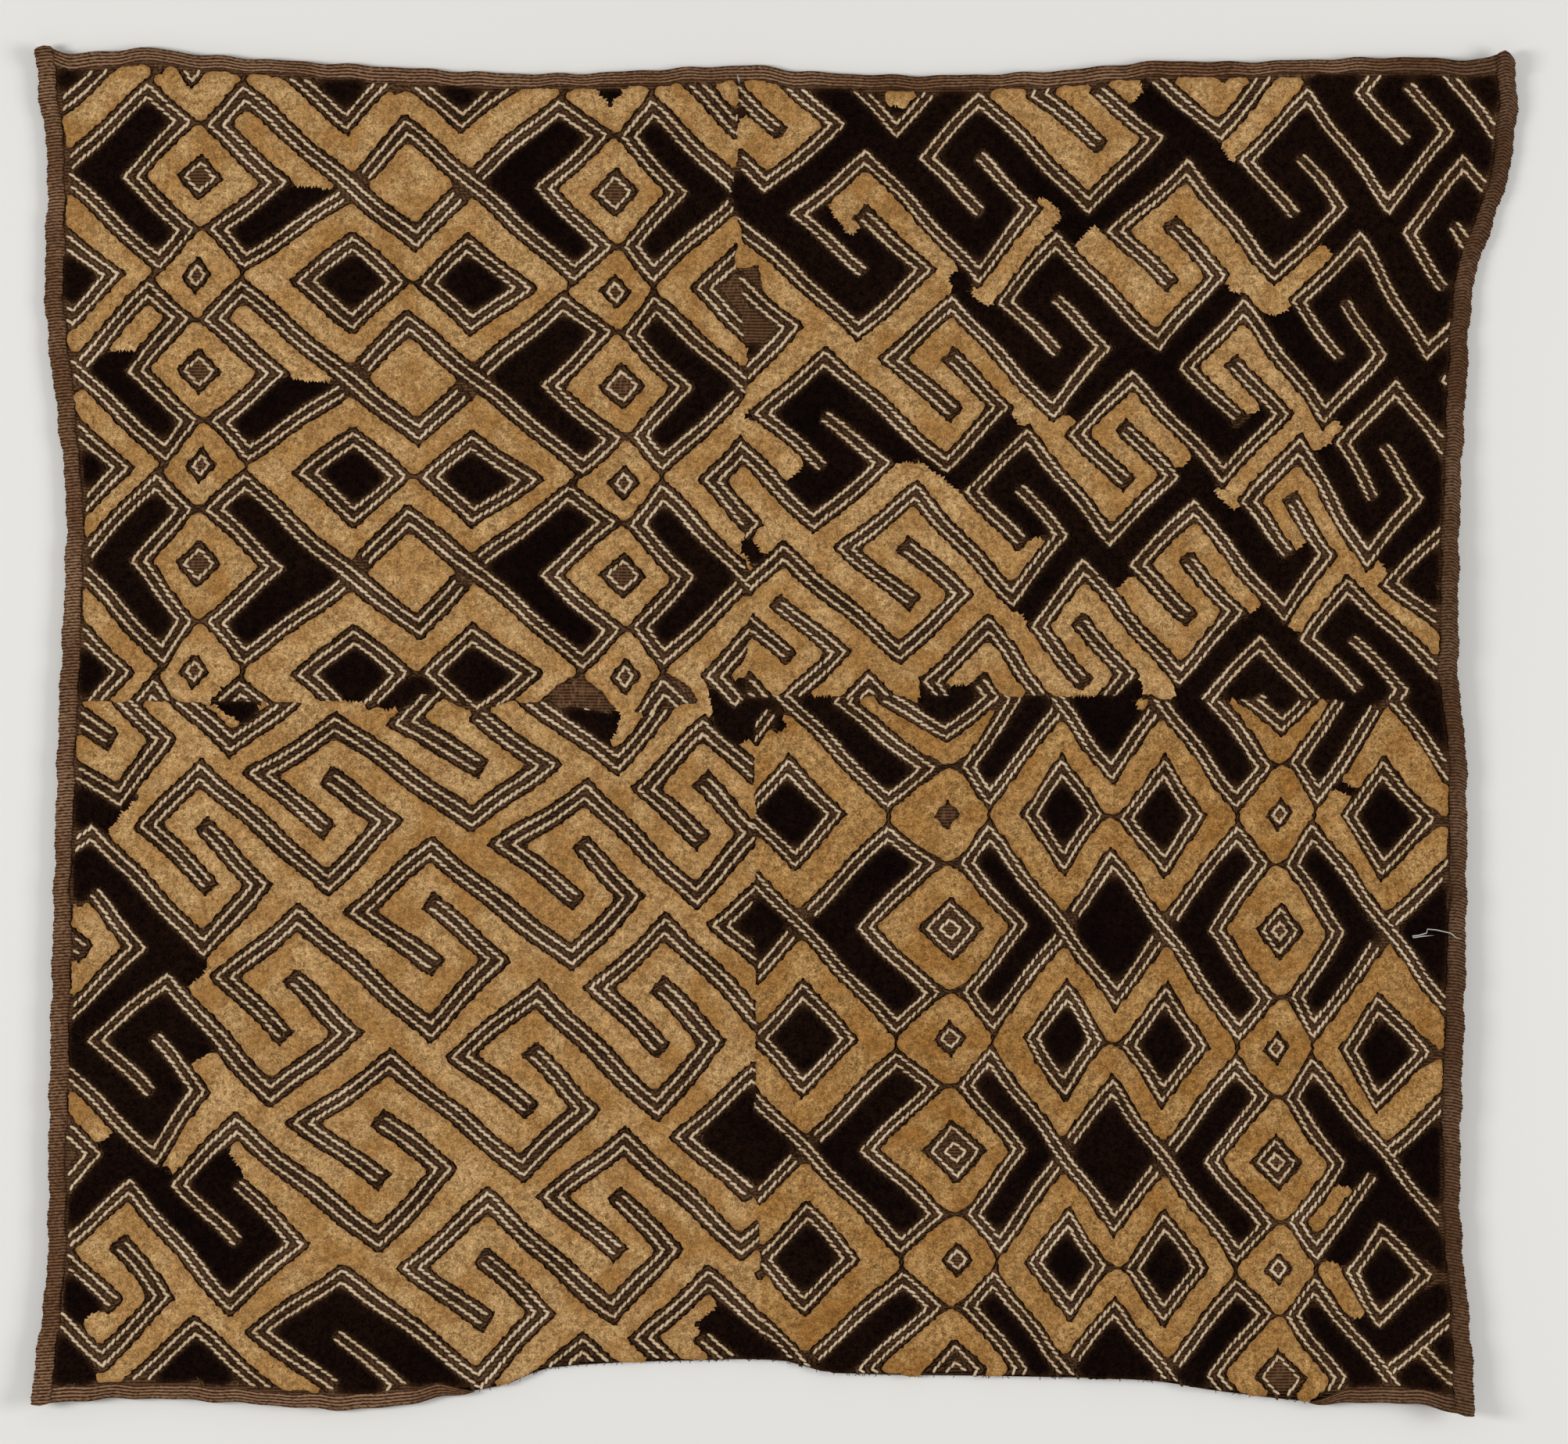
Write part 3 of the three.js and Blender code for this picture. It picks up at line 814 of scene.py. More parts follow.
def lengthened(line, reach):
    """An open line with both ends carried straight on."""
    line = line.copy()
    first, last = line[0] - line[1], line[-1] - line[-2]
    line[0] += reach * first / np.linalg.norm(first)
    line[-1] += reach * last / np.linalg.norm(last)
    return line


def under_band(xy, line, closed, half):
    """Whether points lie within half a width of a line, mitred at corners and square at ends."""
    covered = np.zeros(len(xy), bool)
    left, right = beside(line, half, closed), beside(line, -half, closed)
    for k in range(len(line) if closed else len(line) - 1):
        n = (k + 1) % len(line)
        corners = np.array([left[k], left[n], right[n], right[k]])
        near = np.flatnonzero(((xy > corners.min(axis=0)) & (xy < corners.max(axis=0))).all(axis=1))
        covered[near] |= inside(xy[near], corners)
    return covered


def turn_of(way, offset):
    """Twice the area between two vectors, positive where the second is to the first's left."""
    return way[..., 0] * offset[..., 1] - way[..., 1] * offset[..., 0]


def across_band(here, there, bands):
    """Whether the straight line from each point here to its point there crosses a band's middle."""
    crossed = np.zeros(len(here), bool)
    if not len(here):
        return crossed
    low, high = np.minimum(here, there).min(axis=0), np.maximum(here, there).max(axis=0)
    for line, closed in bands:
        for a, b in zip(*segments_of(line, closed)):
            if (np.maximum(a, b) > low).all() and (np.minimum(a, b) < high).all():
                parted = turn_of(b - a, here - a) * turn_of(b - a, there - a) < 0
                crossed |= parted & (turn_of(there - here, a - here) * turn_of(there - here, b - here) < 0)
    return crossed


def stroked(xy, line, half, bands):
    """Whether points lie within half a width of an open line with no band between; its ends are
    square, a little past the last points."""
    found = np.zeros(len(xy), bool)
    low, high = line.min(axis=0) - half, line.max(axis=0) + half
    close = np.flatnonzero(((xy > low) & (xy < high)).all(axis=1))
    starts, ends = segments_of(line, False)
    for k, (a, b) in enumerate(zip(starts, ends)):
        length = np.linalg.norm(b - a)
        run = (xy[close] - a) @ (b - a) / length
        foot = a + np.clip(run, 0, length)[:, None] * (b - a) / length
        near = np.linalg.norm(xy[close] - foot, axis=1) < half
        near &= (run > -STROKE_END) | (k > 0)
        near &= (run < length + STROKE_END) | (k < len(starts) - 1)
        picked = close[near]
        found[picked[~across_band(xy[picked], foot[near], bands)]] = True
    return found


def inside(xy, corners):
    """Whether each point is inside a polygon: a ray to the right crosses its sides an odd number of
    times."""
    odd = np.zeros(len(xy), bool)
    for a, b in zip(corners, np.roll(corners, -1, axis=0)):
        if a[1] != b[1]:
            crosses = (xy[:, 1] < a[1]) != (xy[:, 1] < b[1])
            odd ^= crosses & (xy[:, 0] < a[0] + (xy[:, 1] - a[1]) / (b[1] - a[1]) * (b[0] - a[0]))
    return odd


class Quarter:
    """One quarter of the panel: its stitched bands and rings, bare spots without pile, plain spots
    without stitches as well, and pile colours. cream is how far a band's undyed rows lie from its
    middle, edge the width of the brown row outside."""

    def __init__(self, right, upper, cream, edge):
        self.right, self.upper, self.cream, self.edge = right, upper, cream, edge
        self.tan_gap, self.black_gap = cream + edge + TAN_CLEAR, cream + BLACK_CLEAR
        self.bands, self.links, self.rings, self.bare, self.plain = [], [], [], [], []
        self.black, self.tan, self.eyes = [], [], []

    def holds(self, xy):
        """Whether points lie in the quarter: the joins wander a little along the panel."""
        x, y = to_chart(xy).T
        right = x > smooth_column(UPRIGHT_JOIN, y)
        upper = y < smooth_column(LEVEL_JOIN, x)
        return (right == self.right) & (upper == self.upper)


# Where the quarters join, on the chart: (y, x) down the upright join, (x, y) along the level one
UPRIGHT_JOIN = np.array([
    (60, 942), (200, 944), (240, 937), (262, 939), (300, 948), (332, 940), (372, 950), (450, 957),
    (500, 954), (600, 950), (700, 957), (738, 954), (765, 961), (880, 955), (930, 964), (1200, 966),
    (1400, 966), (1460, 952), (1520, 966), (1640, 975), (1800, 992),
])
LEVEL_JOIN = np.array([
    (40, 897), (300, 897), (480, 898), (548, 888), (604, 909), (660, 897), (720, 904), (803, 913),
    (870, 903), (950, 894), (1200, 890), (1450, 893), (1700, 896), (1900, 905),
])


def hooked_quarter(quarter, nodes, hook):
    """Bands of interlocking hooks, one for each node."""
    lattice = Lattice(nodes)
    for cell in cells_of(nodes):
        quarter.bands.append((lattice.at(moved(hook, cell)), False))


# In steps of the lattice: where two black arms meet beside a diamond, the side corners of the
# middle between two columns, and how far down a small ring lies
RIGHT_ARMS, LEFT_ARMS = (0.345, 0.02), (0.655, -0.02)
MIDDLE_LEFT, MIDDLE_RIGHT = (0.37, 0.0), (0.63, 0.0)
SMALL_RING_DOWN = 0.503


def interlaced_quarter(
    quarter, nodes, bands, eyes, rings, small_rings, slimmer, other_rings, other_small_rings, top_drift,
    dark_eyes, black_middle, tan_arms
):
    """Columns of diamonds with bands looped round them and interlaced between, and a pair of eyes
    between each two columns, black inside for the columns in dark_eyes. A ring is (half width,
    half height, cream), slimmer by a share for each column to the right and lower by half as much.
    One whose cream is None is a bare spot without rows, and the other rings are those of single
    diamonds that differ. The top row's eyes and small rings are moved by top_drift. A tan arm,
    (column, row, low corner, high corner), is a place where a black arm turns tan."""
    cells = Cells(nodes)
    first, second = bands
    known = cells_of(nodes)
    right_of = [first[5], RIGHT_ARMS, first[1], first[2], first[3], first[4]]
    left_of = [second[5], LEFT_ARMS, second[1], second[2], second[3], second[4]]
    middle = [first[6], MIDDLE_LEFT, second[6], MIDDLE_RIGHT]
    upright_links = [first[1], moved(first[5], (0, 1))], [second[5], moved(second[1], (0, 1))]
    level_links = (
        [first[4], moved(second[2], (-1, 0))],
        [first[2], moved(second[4], (-1, 0))],
        [eyes[0][2], eyes[1][0]],
    )
    top_row = min(row for _, row in known)
    for cell in known:
        drift = top_drift if cell[1] == top_row else (0.0, 0.0)
        if (cell[0] + 1, cell[1]) in known:
            for link in upright_links + level_links:
                quarter.links.append(cells.at(moved(link, cell)))
            for link in level_links:
                quarter.bare.append(bow_tie(*cells.at(moved(link, cell))))
            for path in bands:
                quarter.bands.append((cells.at(moved(path, cell)), False))
            for path in (right_of, left_of, middle) if black_middle else (right_of, left_of):
                quarter.black.append(cells.at(moved(path, cell)))
            for path in eyes:
                eye = cells.at(moved(moved(path, drift), cell))
                quarter.bands.append((eye, True))
                if cell[0] in dark_eyes:
                    quarter.eyes.append(eye)
        slim, low = 1 - slimmer * cell[0], 1 - slimmer * cell[0] / 2
        large, small = other_rings.get(cell, rings), other_small_rings.get(cell, small_rings)
        for step, sizes in (((0.0, 0.0), large), ((drift[0], SMALL_RING_DOWN + drift[1]), small)):
            spot = cells.at(moved([step], cell))
            for wide, high, cream in sizes:
                quarter.rings.append((spot + rhombus((slim * wide, low * high)), cream))
            for wide, high, _ in sizes[-1:]:
                quarter.bare.append(spot + rhombus((slim * wide + RING_EDGE, low * high + RING_EDGE)))
    for column, row, low, high in tan_arms:
        corners = [low, (high[0], low[1]), high, (low[0], high[1])]
        quarter.tan.append(cells.at(moved(corners, (column, row))))


upper_left = Quarter(False, True, 1.9, 1.8)
upper_right = Quarter(True, True, 1.85, 1.4)
lower_left = Quarter(False, False, 1.95, 1.85)
lower_right = Quarter(True, False, 1.75, 1.4)
hooked_quarter(lower_left, LOWER_LEFT_HOOKS, LOWER_LEFT_HOOK)
hooked_quarter(upper_right, UPPER_RIGHT_HOOKS, UPPER_RIGHT_HOOK)
interlaced_quarter(
    upper_left, UPPER_LEFT_DIAMONDS, UPPER_LEFT_BANDS, UPPER_LEFT_EYES,
    rings=((6.2, 6.1, True), (8.4, 8.4, False)), small_rings=((3.3, 4.0, True), (5.3, 6.0, False)),
    slimmer=0.0, other_rings={}, other_small_rings={(1, -1): ()},
    top_drift=(-0.015, -0.042), dark_eyes=(-1, 0), black_middle=False,
    tan_arms=(
        (0, 0, (0, -0.6), (0.4, 0.03)), (0, 1, (0, -0.6), (0.4, 0.03)), (-1, 1, (0.6, -0.6), (1, -0.1)),
    ),
)
interlaced_quarter(
    lower_right, LOWER_RIGHT_DIAMONDS, LOWER_RIGHT_BANDS, LOWER_RIGHT_EYES,
    rings=((4.2, 4.0, True), (6.7, 7.1, False), (9.3, 10.4, True), (11.6, 12.0, False)),
    small_rings=((3.7, 3.9, True), (5.4, 5.7, False)), slimmer=0.22,
    other_rings={(0, -1): (), (1, -1): (), (1, 2): ((9.3, 10.4, True), (11.6, 12.0, False))},
    other_small_rings={(0, -1): ((3.9, 4.2, None),)}, top_drift=(0.0, 0.0),
    dark_eyes=(-1, 0, 1), black_middle=True, tan_arms=((1, 1, (0, 0.1), (0.33, 0.6)),),
)
# Single runs of rows and single patches, on the chart
LOWER_RIGHT_RUNS = (
    [(1128, 892), (1208, 938), (1274, 890)],
    [(1588, 890), (1637, 930), (1674, 888)],
    [(1816, 1722), (1860, 1764)],
)
SINGLE_PATCHES = (
    (lower_right.tan, [(1444, 880), (1505, 880), (1497, 904), (1468, 914), (1452, 905)]),
    (lower_left.bare, [(78, 1458), (114, 1476), (78, 1498)]),
    (upper_right.bare, [(948, 345), (970, 340), (992, 420), (985, 446), (958, 440)]),
    (upper_left.black, [(750, 102), (814, 102), (782, 137)]),
    (upper_left.tan, [(770, 850), (840, 850), (840, 920), (770, 920)]),
    (upper_left.plain, [(744, 862), (776, 884), (790, 906), (698, 906), (706, 886)]),
    (upper_left.bare, [(858, 862), (888, 886), (892, 905), (832, 905), (836, 886)]),
    (upper_left.bare, [(925, 367), (944, 345), (956, 352), (956, 408)]),
)
for run in LOWER_RIGHT_RUNS:
    lower_right.bands.append((from_chart(run), False))
for patches, corners in SINGLE_PATCHES:
    patches.append(from_chart(corners))

# Strokes of pile in the other colour, along the runs between bands: (half width, line) on the chart
BLACK_STROKES = [
    (40, [(100, 1005), (142, 1042)]),
    (40, [(105, 1105), (225, 1225), (150, 1275), (95, 1325)]),
    (40, [(160, 1335), (213, 1285), (258, 1338)]),
    (34, [(95, 1310), (120, 1355), (205, 1440), (250, 1395)]),
    (34, [(165, 1325), (235, 1400)]),
    (34, [(172, 1475), (120, 1520), (80, 1570)]),
    (34, [(218, 1518), (290, 1620), (360, 1580)]),
    (12, [(180, 1472), (204, 1502)]),
    (14, [(174, 1502), (194, 1516)]),
    (22, [(258, 1518), (292, 1490)]),
    (26, [(268, 1508), (345, 1580)]),
    (34, [(85, 1640), (112, 1668)]),
    (30, [(82, 1712), (95, 1765)]),
    (30, [(215, 1770), (250, 1738), (275, 1770)]),
    (40, [(350, 1705), (430, 1655), (590, 1780)]),
    (40, [(400, 1700), (500, 1790)]),
    (30, [(922, 1685), (972, 1745)]),
    (40, [(912, 1440), (945, 1405), (962, 1480)]),
    (24, [(920, 1455), (955, 1495)]),
    (18, [(290, 893), (312, 905)]),
    (17, [(495, 890), (545, 884)]),
    (26, [(735, 912), (775, 926)]),
    (40, [(925, 915), (960, 905), (985, 900)]),
    (20, [(955, 1180), (990, 1180)]),
    (14, [(1742, 1476), (1768, 1503)]),
    (14, [(1618, 896), (1655, 896)]),
]
TAN_STROKES = [
    (40, [(955, 110), (1035, 160), (985, 215), (945, 180)]),
    (40, [(1000, 120), (1010, 150)]),
    (18, [(1145, 115), (1175, 120)]),
    (40, [(1285, 120), (1390, 235), (1460, 165), (1400, 110)]),
    (40, [(1340, 115), (1405, 180)]),
    (40, [(1515, 105), (1600, 110), (1560, 160)]),
    (24, [(1655, 112), (1572, 186)]),
    (34, [(1074, 268), (1107, 240), (1206, 345)]),
    (34, [(935, 325), (1093, 455), (1200, 368)]),
    (24, [(960, 560), (1004, 606)]),
    (20, [(1337, 272), (1260, 372)]),
    (34, [(1450, 300), (1515, 245), (1600, 345)]),
    (28, [(1600, 345), (1630, 378), (1690, 332)]),
    (32, [(1390, 318), (1488, 405), (1545, 350)]),
    (34, [(1460, 290), (1520, 350)]),
    (34, [(1540, 470), (1590, 415), (1645, 490)]),
    (26, [(1645, 490), (1692, 560)]),
    (34, [(1560, 490), (1592, 522)]),
    (22, [(1660, 548), (1574, 630)]),
    (34, [(955, 510), (1055, 425), (1140, 500), (1215, 575), (1275, 520)]),
    (32, [(1145, 465), (1220, 410), (1320, 520)]),
    (26, [(1320, 520), (1342, 548), (1430, 660), (1488, 615)]),
    (34, [(1165, 470), (1240, 540)]),
    (30, [(1385, 555), (1450, 505), (1510, 578)]),
    (34, [(1400, 545), (1470, 610)]),
    (34, [(1605, 640), (1664, 595), (1720, 690)]),
    (26, [(1720, 690), (1735, 728)]),
    (26, [(1612, 640), (1662, 690)]),
    (32, [(1335, 800), (1388, 750), (1480, 850)]),
    (22, [(1474, 852), (1482, 882)]),
    (34, [(1355, 790), (1420, 870)]),
    (24, [(1322, 818), (1395, 890)]),
    (32, [(1465, 725), (1529, 670), (1600, 765)]),
    (34, [(1480, 710), (1550, 790)]),
    (30, [(1440, 758), (1510, 830), (1570, 785)]),
    (22, [(1725, 735), (1664, 798)]),
    (30, [(1750, 745), (1845, 845)]),
]
TAN_FIELD = [
    (930, 565), (1040, 678), (1118, 600), (1171, 588), (1205, 610), (1237, 635), (1303, 695), (1337, 690),
    (1345, 708), (1300, 778), (1312, 797), (1325, 803), (1410, 905), (930, 905),
]
BLACK_TUFTS = [
    (6, [(1702, 1006), (1728, 1013)]), (10, [(958, 702), (968, 714)]), (24, [(1184, 899), (1234, 901)]),
]
BLACK_CORNER = [
    (1684, 1610), (1758, 1502), (1900, 1490), (1900, 1800), (1725, 1800), (1722, 1692), (1752, 1684),
    (1765, 1690), (1820, 1630), (1765, 1570), (1715, 1622),
]


def pile_colours(quarter, xy):
    """True for black pile, false for tan."""
    black = np.full(len(xy), quarter is upper_right)
    for corners in quarter.black:
        black |= inside(xy, corners)
    for corners in quarter.tan:
        black &= ~inside(xy, corners)
    if quarter is upper_right:
        for half, line in TAN_STROKES:
            black &= ~stroked(xy, from_chart(line), half * CHART, quarter.bands)
        black &= ~inside(xy, from_chart(TAN_FIELD))
    else:
        for half, line in BLACK_STROKES:
            black |= stroked(xy, from_chart(line), half * CHART, quarter.bands)
    if quarter is lower_right:
        black |= inside(xy, from_chart(BLACK_CORNER))
    for corners in quarter.eyes:
        black |= inside(xy, corners)
    for half, line in BLACK_TUFTS:
        black |= stroked(xy, from_chart(line), half * CHART, quarter.bands)
    return black


def in_field(xy, margin=0.0):
    """Whether points lie inside the hems and the groove beside them; the pile runs out to the edge
    where the bottom hem is turned under."""
    at = face_place(xy)
    bottom = CUT_EDGE + (END_HEM + GROOVE - CUT_EDGE) * hem_share(at[:, 0])
    return (
        (at[:, 0] > SIDE_HEM + GROOVE + margin) & (at[:, 0] < WIDTH - SIDE_HEM - GROOVE - margin)
        & (at[:, 1] > bottom + margin) & (at[:, 1] < LENGTH - END_HEM - GROOVE - margin)
    )


def stitch_rows(quarter, cream):
    """The rows of one colour as (line, closed): a cream row each side of every band's middle, or a
    brown row along its middle and one round its outside, and the rings."""
    rows = [(line, True) for line, ring_cream in quarter.rings if ring_cream == cream]
    for line, closed in quarter.bands:
        if cream:
            rows += [(beside(line, gap, closed), closed) for gap in (quarter.cream, -quarter.cream)]
            continue
        rows.append((line, closed))
        gap = quarter.cream + CREAM_HALF + quarter.edge / 2
        if closed:
            rows += [(beside(line, gap, True), True), (beside(line, -gap, True), True)]
        else:
            longer = lengthened(line, ROW_REACH)
            there, back = beside(longer, gap, False), beside(longer, -gap, False)[::-1]
            rows.append((np.concatenate((there, back)), True))
    return rows if cream else rows + [(link, False) for link in quarter.links]


def stitches(rows, pitch, quarter):
    """Middles and headings of stitches spaced evenly along each straight run of the rows, drifting
    with the hand."""
    runs = [segments_of(line, closed) for line, closed in rows]
    starts, ends = np.concatenate([a for a, _ in runs]), np.concatenate([b for _, b in runs])
    way = ends - starts
    length = np.linalg.norm(way, axis=1)
    count = np.maximum(1, np.round(length / pitch)).astype(int)
    run = np.repeat(np.arange(len(count)), count)
    number = np.arange(count.sum()) - np.repeat(np.cumsum(count) - count, count)
    share = (number + 0.5) / count[run]
    middle = starts[run] + share[:, None] * way[run]
    kept = quarter.holds(middle) & in_field(middle + waver(middle), ROW_MARGIN)
    for corners in quarter.plain:
        kept &= ~inside(middle, corners)
    heading = np.arctan2(way[run, 1], way[run, 0])
    return (middle + waver(middle))[kept], heading[kept]


def stitch_shapes(middles, headings, length, width, height, sides, slant):
    """Each stitch is a spindle: a point, two rings and a point along its slanted heading, with
    the ends tucked down. Gives points and triangles."""
    count = len(middles)
    heading = headings + slant + draw.normal(0, HAND_TURN, count)
    along = np.stack((np.cos(heading), np.sin(heading), np.zeros(count)), axis=1)
    aside = np.stack((-along[:, 1], along[:, 0], np.zeros(count)), axis=1)
    turn = 2 * np.pi * np.arange(sides) / sides + np.pi / 2
    ring = np.stack((np.cos(turn), np.sin(turn)), axis=1)
    shape = np.concatenate((
        [(-1.0, 0.0, -STITCH_TUCK)],
        np.column_stack((np.full(sides, -STITCH_SHOULDER), ring)),
        np.column_stack((np.full(sides, STITCH_SHOULDER), ring)),
        [(1.0, 0.0, -STITCH_TUCK)],
    ))
    size = 1 + draw.normal(0, HAND_SIZE, (count, 1, 1))
    low = GROUND_TOP + height * STITCH_SEAT + lift_at(middles)
    base = np.column_stack((middles + draw.normal(0, HAND_SHIFT, (count, 2)), low))
    points = (
        base[:, None, :]
        + along[:, None, :] * shape[None, :, :1] * length / 2 * size
        + aside[:, None, :] * shape[None, :, 1:2] * width / 2 * size
        + np.array([0, 0, 1.0]) * shape[None, :, 2:] * height / 2 * size
    )
    k = np.arange(sides)
    n = (k + 1) % sides
    first, second, last = 1 + k, 1 + sides + k, 2 * sides + 1
    faces = np.concatenate((
        np.stack((np.zeros(sides, int), 1 + n, first), axis=1),
        np.stack((first, 1 + n, 1 + sides + n), axis=1),
        np.stack((first, 1 + sides + n, second), axis=1),
        np.stack((np.full(sides, last), second, 1 + sides + n), axis=1),
    ))
    faces = faces[None] + (np.arange(count) * len(shape))[:, None, None]
    return points.reshape(-1, 3), faces.reshape(-1, 3)


# Loose threads: (thickness and height over the ground in mm, the run on the chart)
LOOSE_THREADS = [
    (0.5, 3.4, [(1832, 1196), (1818, 1197), (1805, 1199), (1804, 1197), (1812, 1196), (1822, 1193),
                (1823, 1188), (1834, 1189), (1852, 1193), (1859, 1199), (1868, 1201)]),
    (0.9, 3.2, [(943, 97), (945, 103), (946, 109)]),
]


THREAD_SIDES = 5
THREAD_TIP = 0.01  # half its thickness at both ends


def thread_shapes(thickness, height, run):
    """A thread along its run: a ring round each point, drawn in at both ends."""
    run = from_chart(run)
    way = np.gradient(run, axis=0)
    way /= np.linalg.norm(way, axis=1, keepdims=True)
    aside = np.stack((-way[:, 1], way[:, 0]), axis=1)
    turn = 2 * np.pi * np.arange(THREAD_SIDES) / THREAD_SIDES
    thick = np.full((len(run), 1), thickness / 2)
    thick[[0, -1]] = THREAD_TIP
    xy = run[:, None, :] + aside[:, None, :] * (thick * np.cos(turn))[..., None]
    z = (GROUND_TOP + height + lift_at(run))[:, None] + thick * np.sin(turn)
    return np.dstack((xy, z)).reshape(-1, 3), grid_faces(len(run), THREAD_SIDES, wrap=True)


def loose_threads():
    """The loose threads as one piece."""
    shapes = [thread_shapes(*thread) for thread in LOOSE_THREADS]
    starts = np.cumsum([0] + [len(points) for points, _ in shapes])
    points = np.concatenate([points for points, _ in shapes])
    faces = np.concatenate([faces + start for (_, faces), start in zip(shapes, starts)])
    return add_piece("loose_threads", points, faces, PALE_THREAD)


FIBRE_COUNT = 90
FIBRE_INSET = 0.5  # how far inside the edge their middles lie
FIBRE_SPREAD = 0.8  # spread of their headings, in radians


def frayed_fibres():
    """Fibre ends that stand out past the cut edge, where the bottom hem is turned under."""
    across = draw.uniform(*HEM_OPEN, FIBRE_COUNT)
    middles = face(across, np.full(FIBRE_COUNT, FIBRE_INSET))
    headings = draw.normal(-np.pi / 2, FIBRE_SPREAD, FIBRE_COUNT)
    return add_piece("frayed_fibres", *stitch_shapes(middles, headings, **FRAYED_FIBRE), BROWN_ROWS)


def pile_grid():
    """A staggered grid over the panel, in mm: every second line is moved half a step. Gives the
    points line by line and the triangles between them."""
    wide, high = PILE_SIZE
    columns, lines = int(wide / PILE_PITCH), int(high / (PILE_PITCH * LINE_SHARE)) // 2 * 2
    x = (np.arange(columns) - columns / 2) * PILE_PITCH
    y = (np.arange(lines) - lines / 2) * PILE_PITCH * LINE_SHARE
    xx, yy = np.meshgrid(x, y)
    xx[1::2] += PILE_PITCH / 2
    number = np.arange(lines * columns).reshape(lines, columns)
    a, b, c, d = number[:-1, :-1], number[:-1, 1:], number[1:, :-1], number[1:, 1:]
    even, odd = slice(0, None, 2), slice(1, None, 2)
    corners = (
        (a[even], b[even], c[even]), (b[even], d[even], c[even]),
        (a[odd], d[odd], c[odd]), (a[odd], b[odd], d[odd]),
    )
    triangles = np.concatenate([np.stack(three, axis=-1).reshape(-1, 3) for three in corners])
    return np.stack((xx, yy), axis=-1), triangles


def line_sums(values, step):
    """For each point of the staggered grid, the sum of its two neighbours on the line step away."""
    line = np.roll(values, -step, 0)
    sums = line.copy()
    sums[0::2] += np.roll(line, 1, 1)[0::2]
    sums[1::2] += np.roll(line, -1, 1)[1::2]
    return sums


def spread_out(values, times):
    """Each value of the staggered grid averaged with its six neighbours, a number of times."""
    for _ in range(times):
        same_line = 2 * values + np.roll(values, 1, 1) + np.roll(values, -1, 1)
        values = (same_line + line_sums(values, 1) + line_sums(values, -1)) / 8
    return values


TINY = 1e-6  # keeps a length that is divided by off zero
OUTLINE_REACH = 0.6  # how far a point of the grid may move to an outline, as a share of the pitch


def to_outline(share):
    """How far to move each grid point, in mm, to reach the outline where its share is a half: what
    it has over a half divided by the slope, down the slope and no further than its reach."""
    slope = np.stack((
        (np.roll(share, -1, 1) - np.roll(share, 1, 1)) / (2 * PILE_PITCH),
        (line_sums(share, 1) - line_sums(share, -1)) / (4 * LINE_SHARE * PILE_PITCH),
    ), axis=-1)
    steep = np.maximum(np.linalg.norm(slope, axis=-1, keepdims=True), TINY)
    reach = np.clip((share[..., None] - 0.5) / steep, 0, OUTLINE_REACH * PILE_PITCH)
    return -reach * slope / steep


# Start and size of the shown and of the hidden faces on a pile block's bake map
SHOWN_MAP = (0.03, 0.96)
HIDDEN_MAP = (0.002, 0.02)


def edge_keys(ends, count):
    """One number for each edge, whichever way round its two ends are."""
    return ends.min(axis=1).astype(np.int64) * count + ends.max(axis=1)


def pile_block(name, points, triangles, rim, material):
    """A closed block of pile: the triangles given as its top, the same turned over at the roots,
    and a wall round it that leans in towards the roots. The bake map shows the top in plan, and
    the hidden under face small in a corner."""
    used, top = np.unique(triangles, return_inverse=True)
    top = top.reshape(-1, 3)
    count = len(used)
    upper, root = points[used].copy(), points[used].copy()
    edges = np.concatenate((top[:, [0, 1]], top[:, [1, 2]], top[:, [2, 0]]))
    _, first, times = np.unique(edge_keys(edges, count), return_index=True, return_counts=True)
    border = edges[first[times == 1]]
    way = upper[border[:, 1], :2] - upper[border[:, 0], :2]
    outward = np.zeros((count, 2))
    normal = np.stack((way[:, 1], -way[:, 0]), axis=1)
    np.add.at(outward, border[:, 0], normal)
    np.add.at(outward, border[:, 1], normal)
    outward /= np.maximum(np.linalg.norm(outward, axis=1, keepdims=True), TINY)
    root[:, 2] = PILE_ROOT + lift_at(root[:, :2])
    root[:, :2] -= PILE_LEAN * outward
    a, b = border.T
    walls = np.concatenate((np.column_stack((a, a + count, b + count)), np.column_stack((a, b + count, b))))
    faces = np.concatenate((top, walls, top[:, ::-1] + count))
    every = np.concatenate((upper, root))
    low = every[:, :2].min(axis=0)
    plan = (every[:, :2] - low) / (every[:, :2] - low).max()
    shown = SHOWN_MAP[0] + SHOWN_MAP[1] * plan[faces[: -len(top)].ravel()]
    hidden = HIDDEN_MAP[0] + HIDDEN_MAP[1] * plan[faces[-len(top):].ravel()]
    bake_map = np.concatenate((shown, hidden))
    piece = add_piece(name, every, faces, material, bake_map, {"rim": np.tile(rim[used], 2)})
    ends = np.empty(2 * len(piece.data.edges), np.int32)
    piece.data.edges.foreach_get("vertices", ends)
    ends = ends.reshape(-1, 2)
    kinks = np.isin(edge_keys(ends, 2 * count), edge_keys(border, 2 * count))
    piece.data.attributes.new("sharp_edge", "BOOLEAN", "EDGE").data.foreach_set("value", kinks)
    return piece


